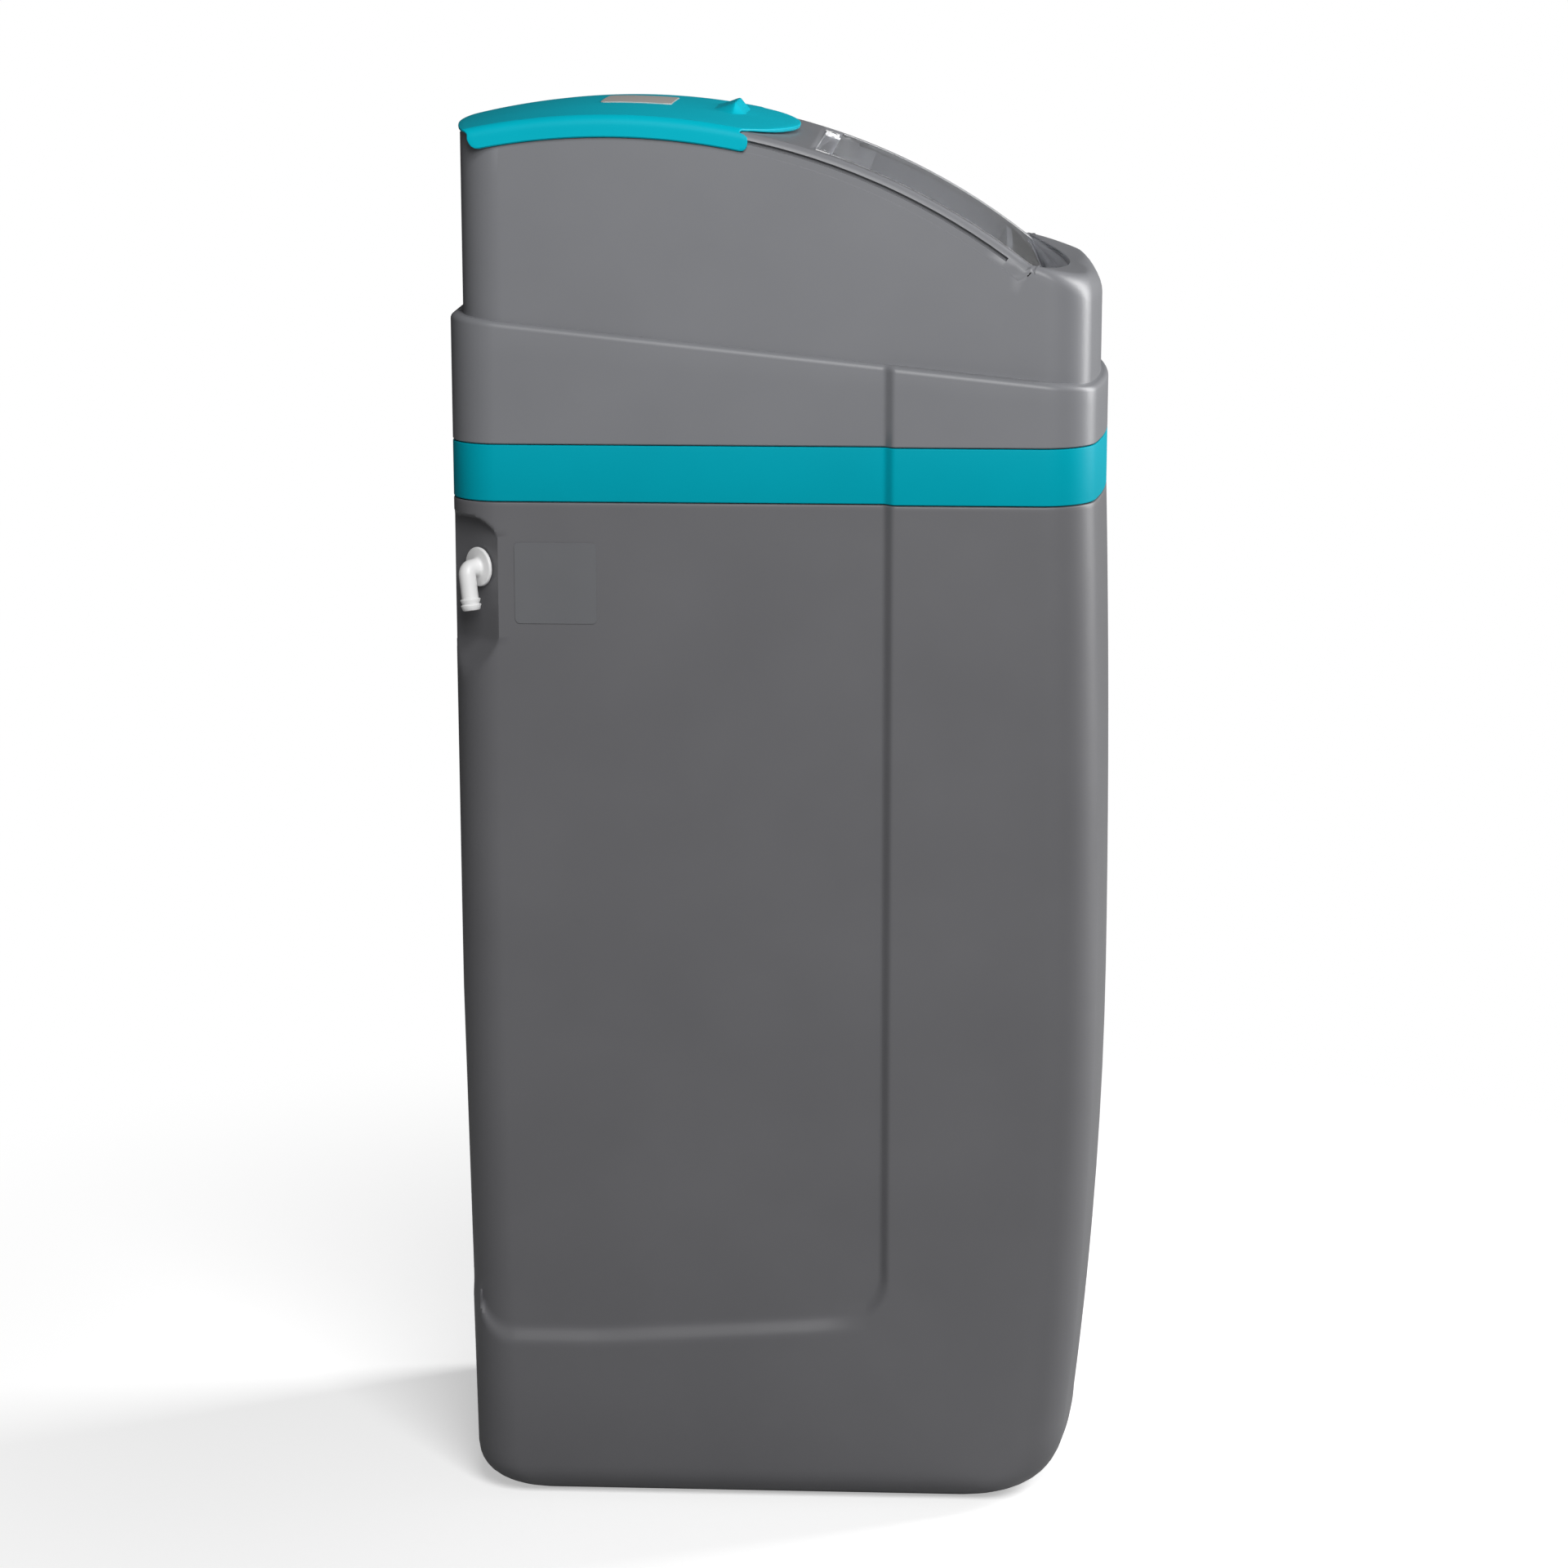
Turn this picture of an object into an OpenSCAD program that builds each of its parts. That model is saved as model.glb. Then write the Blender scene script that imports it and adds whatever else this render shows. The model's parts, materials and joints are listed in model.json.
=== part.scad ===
/* [Casing] */
// Width across the raised front sides
case_w = 322; // [316:1:334]
// Depth from the back to the front of the belly
case_d = 522; // [516:1:540]
// Height of the cabinet's shoulder, under the coloured band
cabinet_h = 827; // [800:1:860]
// Wall and floor of the cabinet
wall = 4; // [3:0.5:5]
// Plan radius of the back corners
corner_back = 38; // [34:1:42]
// Plan radius of the front corners
corner_front = 45; // [38:1:54]
// Plan radius of the bowed front
front_bow = 650; // [580:10:800]
// Height of the front's belly
belly_z = 430; // [390:5:480]
// How far the front sits behind the belly at the shoulder
lean_top = 7; // [4:0.5:9]
// How far the front sits behind the belly at the floor
lean_foot = 27; // [20:1:30]
// How far the back leans in at the floor
lean_back = 6; // [3:0.5:9]
// How far each side leans in at the floor
lean_side = 6; // [3:0.5:8]
// Rounding of the foot at the back
foot_back = 38; // [30:1:44]
// Rounding of the foot at the front
foot_front = 60; // [50:1:62]
// Rounding of the foot at the sides
foot_side = 28; // [22:1:30]
// Depth of the recessed side panels
recess = 6.5; // [4:0.5:7.5]
// How far the recess ends ahead of the middle
crease_x = 76; // [60:1:90]
// Width of the slope at the recess's front end
crease_w = 9; // [5:1:12]
// Height of the recess's lower ledge
ledge_z = 158; // [140:1:180]
// Radius of the recess's lower front corner
recess_r = 36; // [24:1:44]
// Height of the coloured band
band_h = 44; // [34:1:54]
// Thickness of the coloured band
band_t = 3; // [2.5:0.5:4]
// Gap above and below the band
seam = 0.8; // [0.5:0.1:0.9]
// Slip clearance between the band, the skirt and the cabinet's neck
slip = 0.4; // [0.3:0.1:0.6]
// How far the cabinet's neck reaches up inside the cover
neck_rise = 9; // [6:1:10]

/* [Overflow pocket] */
// Length cut off each face at the back corner
pocket_leg = 38.5; // [36:0.5:41]
// Top of the pocket below the shoulder
pocket_top = 11; // [8:1:14]
// Height of the pocket's flat face
pocket_h = 100; // [90:1:112]
// Height of the ramp under the flat face
pocket_ramp = 36; // [28:1:44]
// Elbow's centre below the shoulder
elbow_drop = 53; // [48:1:56]
// Elbow's sideways place on the pocket face
elbow_shift = 4; // [2:0.5:6]
// Radius of the elbow's flange
elbow_flange = 15.5; // [14:0.5:17]
// Radius of the elbow's tube
elbow_r = 6.7; // [6:0.1:7.2]
// Radius of the elbow's bore
elbow_bore = 4.2; // [3.5:0.1:4.8]
// Length of the elbow's leg below the bend
elbow_leg = 33; // [30:1:36]
// Tilt of the elbow's leg
elbow_tilt = 10; // [0:1:14]
// Thickness of the elbow's flange
elbow_flange_t = 3; // [2.5:0.5:4]
// Distance of the bend in front of the flange
elbow_reach = 10.5; // [9.5:0.5:11.5]
// Thickness of the elbow's gasket
gasket_t = 1.5; // [1:0.5:2.5]
// Radius of the elbow's threaded stem
stem_r = 8; // [7:0.5:9]
// Thickness of the elbow's nut
nut_t = 6; // [5:0.5:8]

/* [Cover and lid] */
// Radius of the track that the lid slides on
track_r = 532; // [526:1:538]
// The track's axis behind the middle
arc_back = 136.5; // [130:0.5:142]
// Height of the track's crown above the shoulder
crown_up = 295; // [292:1:298]
// Wall of the cover
cover_wall = 3; // [2.5:0.5:4]
// How far the upper cover stands in from the skirt
cover_step = 6; // [5:0.5:8]
// Height of the skirt's ledge above the shoulder at the middle of the depth
skirt_ledge = 117; // [112:1:122]
// Forward slope of the skirt's ledge
skirt_slope = 6; // [4:0.5:8]
// Depth of the rail channel in the cover's sides
channel_in = 1; // [0.6:0.1:1.4]
// Height of the rail channel
channel_h = 15; // [13:0.5:17]
// Rounding of the track's shoulders
shoulder_r = 8; // [6:0.5:9]
// Thickness of the side rails
rail_t = 8.5; // [7.5:0.5:10]
// Height of the slot in each rail
slot_h = 3; // [2.5:0.5:4]
// Depth of the slot in each rail
slot_in = 4; // [3:0.5:4.5]
// Height of the slot above the channel's foot
slot_up = 6.5; // [6:0.5:8]
// Thickness of the lid
lid_t = 3.5; // [3:0.5:4]
// Clearance between the lid and the track
lid_gap = 0.5; // [0.4:0.1:0.8]
// Angle of the lid's back end
lid_back = -12.3; // [-13:0.1:-11.5]
// Angle of the lid's front tip
lid_tip = 15.5; // [14.9:0.1:16]
// Plan radius of the lid's bowed front edge
lid_bow = 320; // [290:5:360]
// Travel of the lid along the track
lid_travel = 26; // [24:0.5:26.5]
// Angle of the lid's finger grip
grip_at = 9.8; // [8.6:0.2:10.6]
// Height of the finger grip
grip_h = 9; // [6:0.5:10]
// Width of the finger grip
grip_w = 64; // [40:2:90]
// Length of the finger grip's base
grip_l = 31; // [26:1:36]
// Angle of the lid's bare badge plate
badge_at = 1.8; // [0.4:0.2:3.4]
// Length of the lid's bare badge plate
badge_l = 58; // [50:1:64]
// Width of the lid's bare badge plate
badge_w = 76; // [60:1:90]
// Thickness of the bare badge plate and the side label
plate_t = 0.6; // [0.4:0.1:1]
// Side of the bare label on the cabinet
label_s = 64; // [56:1:70]
// The label's middle ahead of the cabinet's back
label_in = 83; // [79:1:89]
// The label's middle below the shoulder
label_drop = 63.5; // [58:0.5:70]
// Length of the salt opening
salt_l = 180; // [160:1:184]
// Width of the salt opening
salt_w = 148; // [120:1:150]
// Corner radius of the salt opening
salt_r = 20; // [10:1:30]
// Lip of the cover behind the salt opening
salt_lip = 25; // [22:1:28]

/* [Window and panel] */
// Thickness of the window pane
pane_t = 3; // [2.5:0.5:3.5]
// Width of the cover's top beside the window pane
pane_side = 17.5; // [16.5:0.5:22]
// Angle of the window's hinge on the track's arc
hinge_at = 18.2; // [18:0.1:18.6]
// Depth of the window's hinge pin under the track
hinge_in = 4.5; // [4.2:0.1:5]
// Radius of the window's hinge pin
pin_r = 2; // [1.5:0.1:2.2]
// Ledge that carries the pane
pane_ledge = 6; // [5:0.5:8]
// Clearance round the pane
pane_gap = 0.5; // [0.4:0.1:0.8]
// Depth of the control panel's floor under the track
panel_in = 32; // [28:1:34]
// Thickness of the control panel
panel_t = 2.5; // [2:0.5:3.5]
// Angle of the control panel on the track's arc
panel_at = 29; // [28.5:0.1:29.5]
// Length of the control panel's tray
tray_l = 128; // [116:1:134]
// Length of the display
lcd_l = 44; // [36:1:50]
// Width of the display
lcd_w = 96; // [80:1:110]
// Radius of a button
button_r = 7.5; // [6:0.5:9]
// Spacing of the buttons
button_pitch = 30; // [24:1:34]
// Travel of a button
button_travel = 1.2; // [0.8:0.1:1.5]

/* [Tank] */
// Radius of the resin tank
tank_r = 116; // [106:1:118]
// Tank's axis ahead of the middle
tank_x = 84; // [82:0.5:86]
// Height of the tank's neck above the cabinet's shoulder
neck_up = 18; // [14:1:20]
// Wall of the resin tank
tank_wall = 4; // [3:0.5:5]
// Height of the tank's domed ends
tank_dome = 76; // [66:1:84]
// Radius of the tank's neck
tank_neck = 40; // [38:1:44]
// Depth of the resin
resin_h = 560; // [450:5:640]
// Radius of the riser tube
riser_r = 13; // [11:0.5:14]

/* [Valve] */
// Height of the valve's barrel above the tank's neck
barrel_up = 58; // [57:0.5:62]
// Radius of the valve's barrel
barrel_r = 28; // [27:0.5:28.5]
// Radius of the barrel's bore
barrel_bore = 22; // [20:0.5:22.5]
// Radius of the piston
piston_r = 14; // [12:0.5:15]
// Radius of the piston rod
rod_r = 4; // [3:0.5:5]
// Stroke of the piston
stroke = 22; // [16:1:22]
// Width of a seal in the barrel
seal_w = 4; // [3:0.5:5]
// Width of a spacer in the barrel
spacer_w = 14; // [12:0.5:14]
// Module of the drive gears
gear_m = 1.5; // [1.5:0.05:1.6]
// Teeth on the drive gear
gear_teeth = 40; // [40:1:42]
// Teeth on the motor's pinion
pinion_teeth = 16; // [16:1:18]
// Width of the drive gear
gear_w = 8; // [6:0.5:9]
// Radius of the drive motor
motor_r = 13; // [10:0.5:13]
// Radius of the water pipes
pipe_r = 11; // [10:0.5:12]
// Wall of the water pipes and fittings
pipe_wall = 2; // [1.5:0.5:2.5]
// Distance of the water pipes from the middle
pipe_y = 98; // [96:0.5:98]
// Minor radius of the pipe thread in the back sockets
socket_bore = 12.1; // [11.5:0.1:12.5]
// Length of the pipe thread in the back sockets
socket_depth = 18; // [15:1:20]
// Radius of the brine and drain lines
line_r = 4.8; // [4:0.1:5]
// Height of the brine and drain lines above the barrel
line_up = 48; // [46:0.5:50]
// Bend radius of the brine and drain lines
line_bend = 22; // [18:1:26]

/* [Brine well] */
// Radius of the brine well
well_r = 38; // [36:0.5:38]
// Wall of the brine well
well_wall = 2.5; // [2:0.5:3]
// Brine well's axis ahead of the cabinet's back
well_in = 85; // [83:1:93]
// Brine well's distance from the middle across
well_y = 88; // [86:0.5:88]
// Height of the brine well above the shoulder
well_up = 40; // [36:1:44]
// Radius of the float
float_r = 15; // [12:0.5:15]
// Height of the float
float_h = 44; // [36:1:50]
// Travel of the float
float_travel = 40; // [30:1:44]

/* [Hidden] */
$fn = 96;

big = 2000;
tiny = 0.01;
fit = 0.05;
seat = 0.2;
bite = 1;
rim = 1;

grey = [0.43, 0.43, 0.45];
dark = [0.2, 0.2, 0.21];
teal = [0.06, 0.66, 0.74];
white = [0.93, 0.93, 0.92];
steel = [0.7, 0.71, 0.72];
black = [0.1, 0.1, 0.11];

// Cabinet, band and pocket
back_x = -case_d / 2;
front_x = case_d / 2;
half_w = case_w / 2;
panel_y = half_w - recess;
bow_x = front_x - front_bow;
side_lean = atan(lean_side / cabinet_h);
band_z = cabinet_h + seam;
cover_z = band_z + band_h + seam;
neck_wall = 3;
neck_root = 14;
neck_top = cover_z + neck_rise;
neck_in = max(band_t, cover_wall) + slip;
pocket_r = 18;
pocket_edge = 2;
ramp_run = 14;
stem_l = wall + nut_t + 2;
bend_at = gasket_t + elbow_flange_t + elbow_reach;
gasket_in = 2;
nut_wall = 6;
barb_n = 2;
barb_pitch = 4.5;
barb_up = 1;

// Track, rails and lid
arc_x = -arc_back;
arc_z = cabinet_h + crown_up - track_r;
upper_y = panel_y - cover_step;
channel_y = upper_y - channel_in;
rail_y = upper_y - rail_t - channel_in;
channel_r = track_r - channel_h;
plate_r = track_r - cover_wall;
lid_in_r = track_r + lid_gap;
lid_r = lid_in_r + lid_t;
lid_in_y = channel_y + lid_gap;
lid_y = lid_in_y + lid_t - tiny;
skirt_r = channel_r + lid_gap;
slot_r = channel_r + slot_up;
glide_a = 8;
glide_half = 1.2;
glide_play = 0.8;
slot_back = lid_back - 12;
slot_front = lid_travel + glide_a + glide_half + 0.6;

// Window, hinge and frame
frame_r = plate_r - 3.5;
rebate_r = track_r - pane_t - pane_gap;
pane_y = upper_y - pane_side;
window_y = pane_y - pane_ledge;
past_nose = 60;
frame_back = hinge_at - 1.6;
rebate_back = hinge_at - 0.7;
pane_back = hinge_at + 0.7;
flange_back = hinge_at + 1.7;
window_back = hinge_at + 2.4;
hinge_r = track_r - hinge_in;
knuckle_r = hinge_in - 0.3;
knuckle_in = 31;
knuckle_y = pane_y - knuckle_in;
knuckle_l = 11;
arm_l = 10;
arm_low = 1;
arm_bite = 0.6;
block_l = 10;
block_foot = 6;
block_clear = 0.6;
trough_back = 8;
trough_front = 14;
trough_deep = 9;
trough_end = knuckle_y + knuckle_l + block_l + 3 * seat;

// Control panel, buttons and board
tray_r = track_r - panel_in;
flange_r = frame_r - seat;
flange_lip = 3;
tray_y = window_y - 2;
lcd_t = 2;
button_x = lcd_l / 2 + button_r + 9;
button_up = 2.5;
button_lip = 1.2;
button_play = 0.1;
switch_r = 3;
switch_gap = 0.3;
board_t = 1.6;
board_in = 9;
board_w = 150;
board_x = button_x + button_r + 5;
board_screw = 1.1;
board_hole = board_screw + 0.5;
post_r = 2.6;
post_in = 6;
post_depth = 4;
head_out = 1.2;
head_t = 1.6;

// Resin tank
tank_z = wall + 3;
neck_z = cabinet_h + neck_up;
neck_l = 30;
crown_in = 26;
spigot_r = tank_neck - 9;
spigot_l = 25;
seal_r = 1.4;
seal_in = 3.5;
boot_h = 46;
boot_in = 20;
boot_out = 8;
riser_wall = 2;
riser_up = 40;
riser_foot = tank_z + riser_up;
riser_top = neck_z + 20;
distributor_r = riser_r + 6;
distributor_z = tank_z + tank_wall + 2;
distributor_up = 28;
distributor_top = riser_foot + distributor_up;
basket_r = spigot_r - 5;
basket_h = 39;
basket_wall = 4;
slot_n = 12;
slot_w = 1.2;

// Valve, piston and drive
barrel_z = neck_z + barrel_up;
barrel_behind = 56;
barrel_back = tank_x - barrel_behind;
stack_x = barrel_back + 10;
seal_n = 5;
stack_step = seal_w + spacer_w;
stack_end = stack_x + (seal_n - 1) * stack_step + seal_w;
barrel_front = stack_end + 16;
flange_out = 6;
flow_r = 4;
plug_t = 6;
plate_x = barrel_front + plug_t;
bracket_t = 4;
bracket_edge = 4;
gear_x = plate_x + bracket_t + 2;
gear_r = gear_m * gear_teeth / 2;
pinion_r = gear_m * pinion_teeth / 2;
gear_span = gear_r + pinion_r;
hub_r = rod_r + 4;
pinion_over = 0.5;
motor_l = 30;
shaft_r = 2.5;
shaft_in = 12;
shaft_clear = 1.5;
screw_ring = (barrel_r + barrel_bore) / 2;
screw_r = 1.6;
screw_in = 10;
screw_head = screw_r + 1;
screw_head_t = 1.4;
piston_front = stack_end - seal_w;
piston_l = piston_front - stack_x - seal_w - stroke - 6;
groove_w = piston_l / 5;
groove_in = 2.5;
rod_end = gear_x + gear_w / 2 + stroke;

// Injector, ports, pipes and lines
line_z = barrel_z + line_up;
boss_top = line_z + 10;
boss_cap = 3;
boss_r = 13;
injector_behind = 38;
injector_x = tank_x - injector_behind;
injector_bore = boss_r - 5;
jet_in = 2.4;
jet_out = 1.4;
cap_plug = 5;
drain_x = tank_x - 8;
drain_way = boss_r - 6;
port_r = pipe_r + 6;
port_bore = pipe_r - pipe_wall + 1.5;
port_y = 62;
spider_t = 3;
spider_rim = 1.2;
spoke_w = 1.6;
axle_r = 1.2;
axle_hub = 2.8;
rotor_l = 14;
rotor_gap = 1;
vane_t = 1.2;
cage_y = port_y - 28;
elbow_or = pipe_r + 4;
elbow_out = 32;
pipe_in = 14;
union_over = 5;
union_on = 10;
union_l = 18;
line_wall = 1.4;
line_in = 10;
line_y = pipe_y - pipe_r - line_r - 2.2;
drain_y = line_y + 4;
socket_r = pipe_r + 5;
socket_stop = 2;
socket_l = socket_depth + socket_stop + pipe_in;
collar_t = 3;
drain_r = line_r + 4;
drain_bore = 6.4;
drain_depth = 14;
inlet_r = 6;
inlet_l = 16;
inlet_bore = 2.75;
inlet_depth = 11;
lead_r = 1.5;

// Brine well and float
well_cx = back_x + well_in;
well_z = cabinet_h + well_up;
well_slot_w = 3;
well_slot_h = 36;
well_slot_rows = [30, 80];
cap_t = 5;
cap_over = 2;
cap_in = 8;
cap_wall = 2;
valve_drop = 160;
valve_z = cabinet_h - valve_drop;
valve_h = 90;
valve_r = 11;
line_seat = 8;
arm_up = 20;
arm_w = 12;
arm_t = 8;
pickup_r = 6;
pickup_wall = 1.5;
pickup_seat = 12;
check_h = 50;
check_r = 12;
check_wall = 3;
check_slot_w = 2;
check_slot_h = 16;
check_socket = 10;
rod_y = well_y + 16;
float_low = 320;
float_z = wall + float_low;
float_rod_r = 3;
stop_r = 5;
stop_t = 4;
stop_z = valve_z + arm_up + arm_t;

// Bowed front's position behind the belly at a height
function lean_at(z) = z > belly_z
    ? lean_top * pow((z - belly_z) / (cabinet_h - belly_z), 2)
    : lean_foot * pow((belly_z - z) / belly_z, 2);

// Points on an arc, from one angle to another
function arc_points(cx, cy, r, a0, a1, n) =
    [for (i = [0:n]) [cx + r * cos(a0 + (a1 - a0) * i / n), cy + r * sin(a0 + (a1 - a0) * i / n)]];

// Plan outline with round corners and a bowed front, drawn from circles and squares
module outline(xb, xf, hw, rb, rf, bow) {
    cx = xf - bow + sqrt(pow(bow - rf, 2) - pow(hw - rf, 2));
    turn = atan2(hw - rf, cx - xf + bow);
    translate([xb, rb - hw]) square([cx - xb, 2 * (hw - rb)]);
    translate([xb + rb, -hw]) square([cx - xb - rb, 2 * hw]);
    for (s = [-1, 1]) {
        translate([xb + rb, s * (hw - rb)]) circle(rb);
        translate([cx, s * (hw - rf)]) circle(rf);
    }
    near = cx - xf + bow - rf;
    far = 2 * bow;
    translate([xf - bow, 0]) intersection() {
        circle(bow, $fn = 360);
        polygon([[near, near * tan(turn)], [far, far * tan(turn)], [far, -far * tan(turn)],
            [near, -near * tan(turn)]]);
    }
}

// Plan of the cabinet at the belly, set in by a distance
module case_plan(t) {
    outline(back_x + t, front_x - t, half_w - t, corner_back - t, corner_front - t, front_bow - t);
}

// Plan of the band and the cover's skirt, with the crease on each side
module skirt_plan(t) {
    difference() {
        intersection() {
            case_plan(t);
            translate([bow_x, 0]) circle(front_bow - lean_top - t, $fn = 360);
        }
        for (s = [0, 1]) mirror([0, s]) crease_plan(t);
    }
}

// Plan of one side recess, outside the panel's face
module crease_plan(t) {
    y0 = panel_y - t;
    y1 = half_w - t + tiny;
    x0 = crease_x + t / 2;
    x1 = x0 + crease_w;
    polygon([[-big, y0], [x0, y0], [x1, y1], [x1, big], [-big, big]]);
}

// The skirt's back corners, rounded at the recessed width
module back_corner_cut(t) {
    r = corner_back - t;
    x0 = back_x + t;
    y0 = panel_y - t;
    for (s = [0, 1]) mirror([0, s]) difference() {
        translate([x0 - bite, y0 - r]) square([r + bite, big]);
        translate([x0 + r, y0 - r]) circle(r);
        translate([x0 + r, y0 - 2 * r]) square([r, 2 * r]);
    }
}

module skirt_outline(t) {
    difference() {
        skirt_plan(t);
        back_corner_cut(t);
    }
}

// Solid form of the cabinet, set in by a distance
module body_form(t) {
    intersection() {
        translate([0, 0, t]) linear_extrude(cabinet_h - t) case_plan(t);
        translate([bow_x, 0, 0]) rotate_extrude($fn = 360) front_profile(t);
        rotate([90, 0, 0]) linear_extrude(big, center = true) back_profile(t);
        rotate([90, 0, 90]) linear_extrude(big, center = true) side_profile(t);
    }
}

// Side view of the front, as radii from the bow's axis
module front_profile(t) {
    r0 = front_bow - lean_at(foot_front) - t;
    foot = foot_front - t;
    steps = 10;
    polygon(concat(
        [[1, t]],
        arc_points(r0 - foot, foot_front, foot, -90, 0, 8),
        [for (i = [1:steps]) let (z = foot_front + (cabinet_h - foot_front) * i / steps)
            [front_bow - lean_at(z) - t, z]],
        [[1, cabinet_h]]));
}

// Side view of the leaning back and its round foot
module back_profile(t) {
    foot = foot_back - t;
    x0 = back_x + lean_back + t;
    polygon(concat(
        [[big, t]],
        arc_points(x0 + foot, foot_back, foot, 270, 180, 8),
        [[back_x + t, belly_z], [back_x + t, cabinet_h], [big, cabinet_h]]));
}

// End view of the leaning sides and their round feet
module side_profile(t) {
    foot = foot_side - t;
    y0 = half_w - lean_side * (1 - foot_side / cabinet_h) - t;
    half = concat(
        arc_points(y0 - foot, foot_side, foot, -90, 0, 8),
        [[half_w - t, cabinet_h]]);
    polygon(concat(half, [for (i = [len(half) - 1:-1:0]) [-half[i][0], half[i][1]]]));
}

// Place on a cabinet side's leaning face, with local Y outward
module on_side(s) {
    mirror([0, s < 0 ? 1 : 0, 0]) translate([0, half_w, cabinet_h])
        rotate([-side_lean, 0, 0]) children();
}

// Cut that sinks one side panel of the cabinet
module side_recess(s, t) {
    low = ledge_z - cabinet_h - t;
    fr = recess_r;
    x1 = crease_x + crease_w / 2 + t;
    on_side(s) translate([0, -recess - t, 0]) rotate([-90, 0, 0]) linear_extrude(big) mirror([0, 1]) {
        translate([-big, low + fr]) square([big + x1, big]);
        translate([-big, low]) square([big + x1 - fr, big]);
        translate([x1 - fr, low + fr]) circle(fr);
    }
}

// The cabinet's solid with its side panels sunk
module sunk_form(t) {
    difference() {
        body_form(t);
        for (s = [-1, 1]) side_recess(s, t);
        translate([0, 0, ledge_z]) linear_extrude(big) back_corner_cut(t);
    }
}

// Place on the pocket's slanting face, with local X outward
module on_pocket(z) {
    translate([back_x + pocket_leg / 2, pocket_leg / 2 - panel_y, z]) rotate([0, 0, 225]) children();
}

// Pocket for the overflow elbow, grown by a distance
module pocket(g) {
    top = cabinet_h - pocket_top + g;
    low = top - pocket_h - 2 * g;
    reach = pocket_leg;
    edge = pocket_leg * sqrt(0.5) + pocket_edge + g;
    intersection() {
        on_pocket(0) rotate([90, 0, 0]) linear_extrude(big, center = true) polygon([
            [-g, low], [-g, top], [reach, top], [reach, low - pocket_ramp * reach / ramp_run]]);
        on_pocket(0) rotate([90, 0, 90]) linear_extrude(big, center = true) {
            translate([-edge * 2, 0]) square([edge * 3 - pocket_r, top]);
            translate([-edge * 2, 0]) square([edge * 3, top - pocket_r]);
            translate([edge - pocket_r, top - pocket_r]) circle(pocket_r);
        }
    }
}

module cabinet() {
    root_z = cabinet_h - neck_root;
    color(grey) difference() {
        union() {
            difference() {
                sunk_form(0);
                intersection() {
                    sunk_form(wall);
                    translate([-big / 2, -big / 2, 0]) cube([big, big, root_z]);
                }
                translate([0, 0, root_z - tiny]) linear_extrude(big) skirt_outline(neck_in + neck_wall);
            }
            translate([0, 0, cabinet_h - bite]) linear_extrude(neck_top - cabinet_h + bite) difference() {
                skirt_outline(neck_in);
                skirt_outline(neck_in + neck_wall);
            }
            intersection() {
                sunk_form(0);
                pocket(wall);
            }
        }
        pocket(0);
        on_pocket(cabinet_h - elbow_drop) translate([-big / 4, elbow_shift, 0])
            rotate([0, 90, 0]) cylinder(r = stem_r + seat, h = big / 2);
    }
}

module trim_band() {
    color(teal) translate([0, 0, band_z]) linear_extrude(band_h) difference() {
        skirt_outline(0);
        skirt_outline(band_t);
    }
}

// Place on the lid's arc at an angle, with local Z outward from its axis
module on_arc(a) {
    translate([arc_x, 0, arc_z]) rotate([0, a, 0]) children();
}

// Round disc about the lid's axis, with rounded rims
module arc_disc(r, hy, round_r) {
    on_arc(0) rotate([90, 0, 0]) rotate_extrude($fn = 360) {
        translate([0, -hy]) square([r - round_r, 2 * hy]);
        translate([0, round_r - hy]) square([r, 2 * (hy - round_r)]);
        for (s = [-1, 1]) translate([r - round_r, s * (hy - round_r)]) intersection() {
            circle(round_r);
            translate([0, s < 0 ? -round_r : 0]) square(round_r);
        }
    }
}

// Block of a ring about the lid's axis, between two angles
module arc_block(r0, r1, y0, y1, a0, a1) {
    on_arc(a0) rotate(-120, [1, 1, 1]) rotate_extrude(angle = a1 - a0, $fn = 360)
        translate([r0, y0]) square([r1 - r0, y1 - y0]);
}

// Everything behind the lid's bowed front edge, with the lid turned forward by an angle
module behind_bow(turn, grow) {
    on_arc(lid_tip + turn) translate([-lid_bow, 0, track_r / 2])
        cylinder(r = lid_bow + grow, h = track_r, $fn = 180);
}

// Everything in front of an angle on the lid's arc
module ahead_of(a) {
    on_arc(a) translate([0, -big / 2, 0]) cube([big, big, big]);
}

module upper_plan(t) {
    outline(back_x + cover_step + t, front_x - lean_top - cover_step - t, upper_y - t,
        corner_back - t, corner_front - cover_step - t, front_bow - t);
}

// The cover's outer form, set in by a distance
module cover_form(t) {
    difference() {
        translate([0, 0, cover_z - tiny]) linear_extrude(big / 4) skirt_outline(t);
        translate([0, 0, cabinet_h + skirt_ledge - t]) rotate([0, skirt_slope, 0])
            translate([-big / 2, -big / 2, 0]) cube(big);
    }
    intersection() {
        translate([0, 0, cover_z - tiny]) linear_extrude(big / 4) upper_plan(t);
        union() {
            if (t == 0) arc_disc(lid_r, upper_y, shoulder_r);
            if (t > 0) cover_hollow();
        }
    }
}

// Room under the cover's top, leaving its side rails and the raised nose
module cover_hollow() {
    arc_disc(plate_r, rail_y, shoulder_r);
    arc_disc(channel_r - rail_t, upper_y, rim);
    difference() {
        arc_disc(lid_r - cover_wall, rail_y, shoulder_r);
        behind_bow(lid_travel, lid_gap + cover_wall);
    }
}

// Frame in the cover's top that carries the pane and the control panel
module window_frame() {
    difference() {
        intersection() {
            arc_disc(lid_r - bite, rail_y + bite, shoulder_r);
            behind_bow(lid_travel, lid_gap + cover_wall);
            ahead_of(frame_back);
        }
        arc_disc(frame_r, half_w, rim);
    }
}

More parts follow.
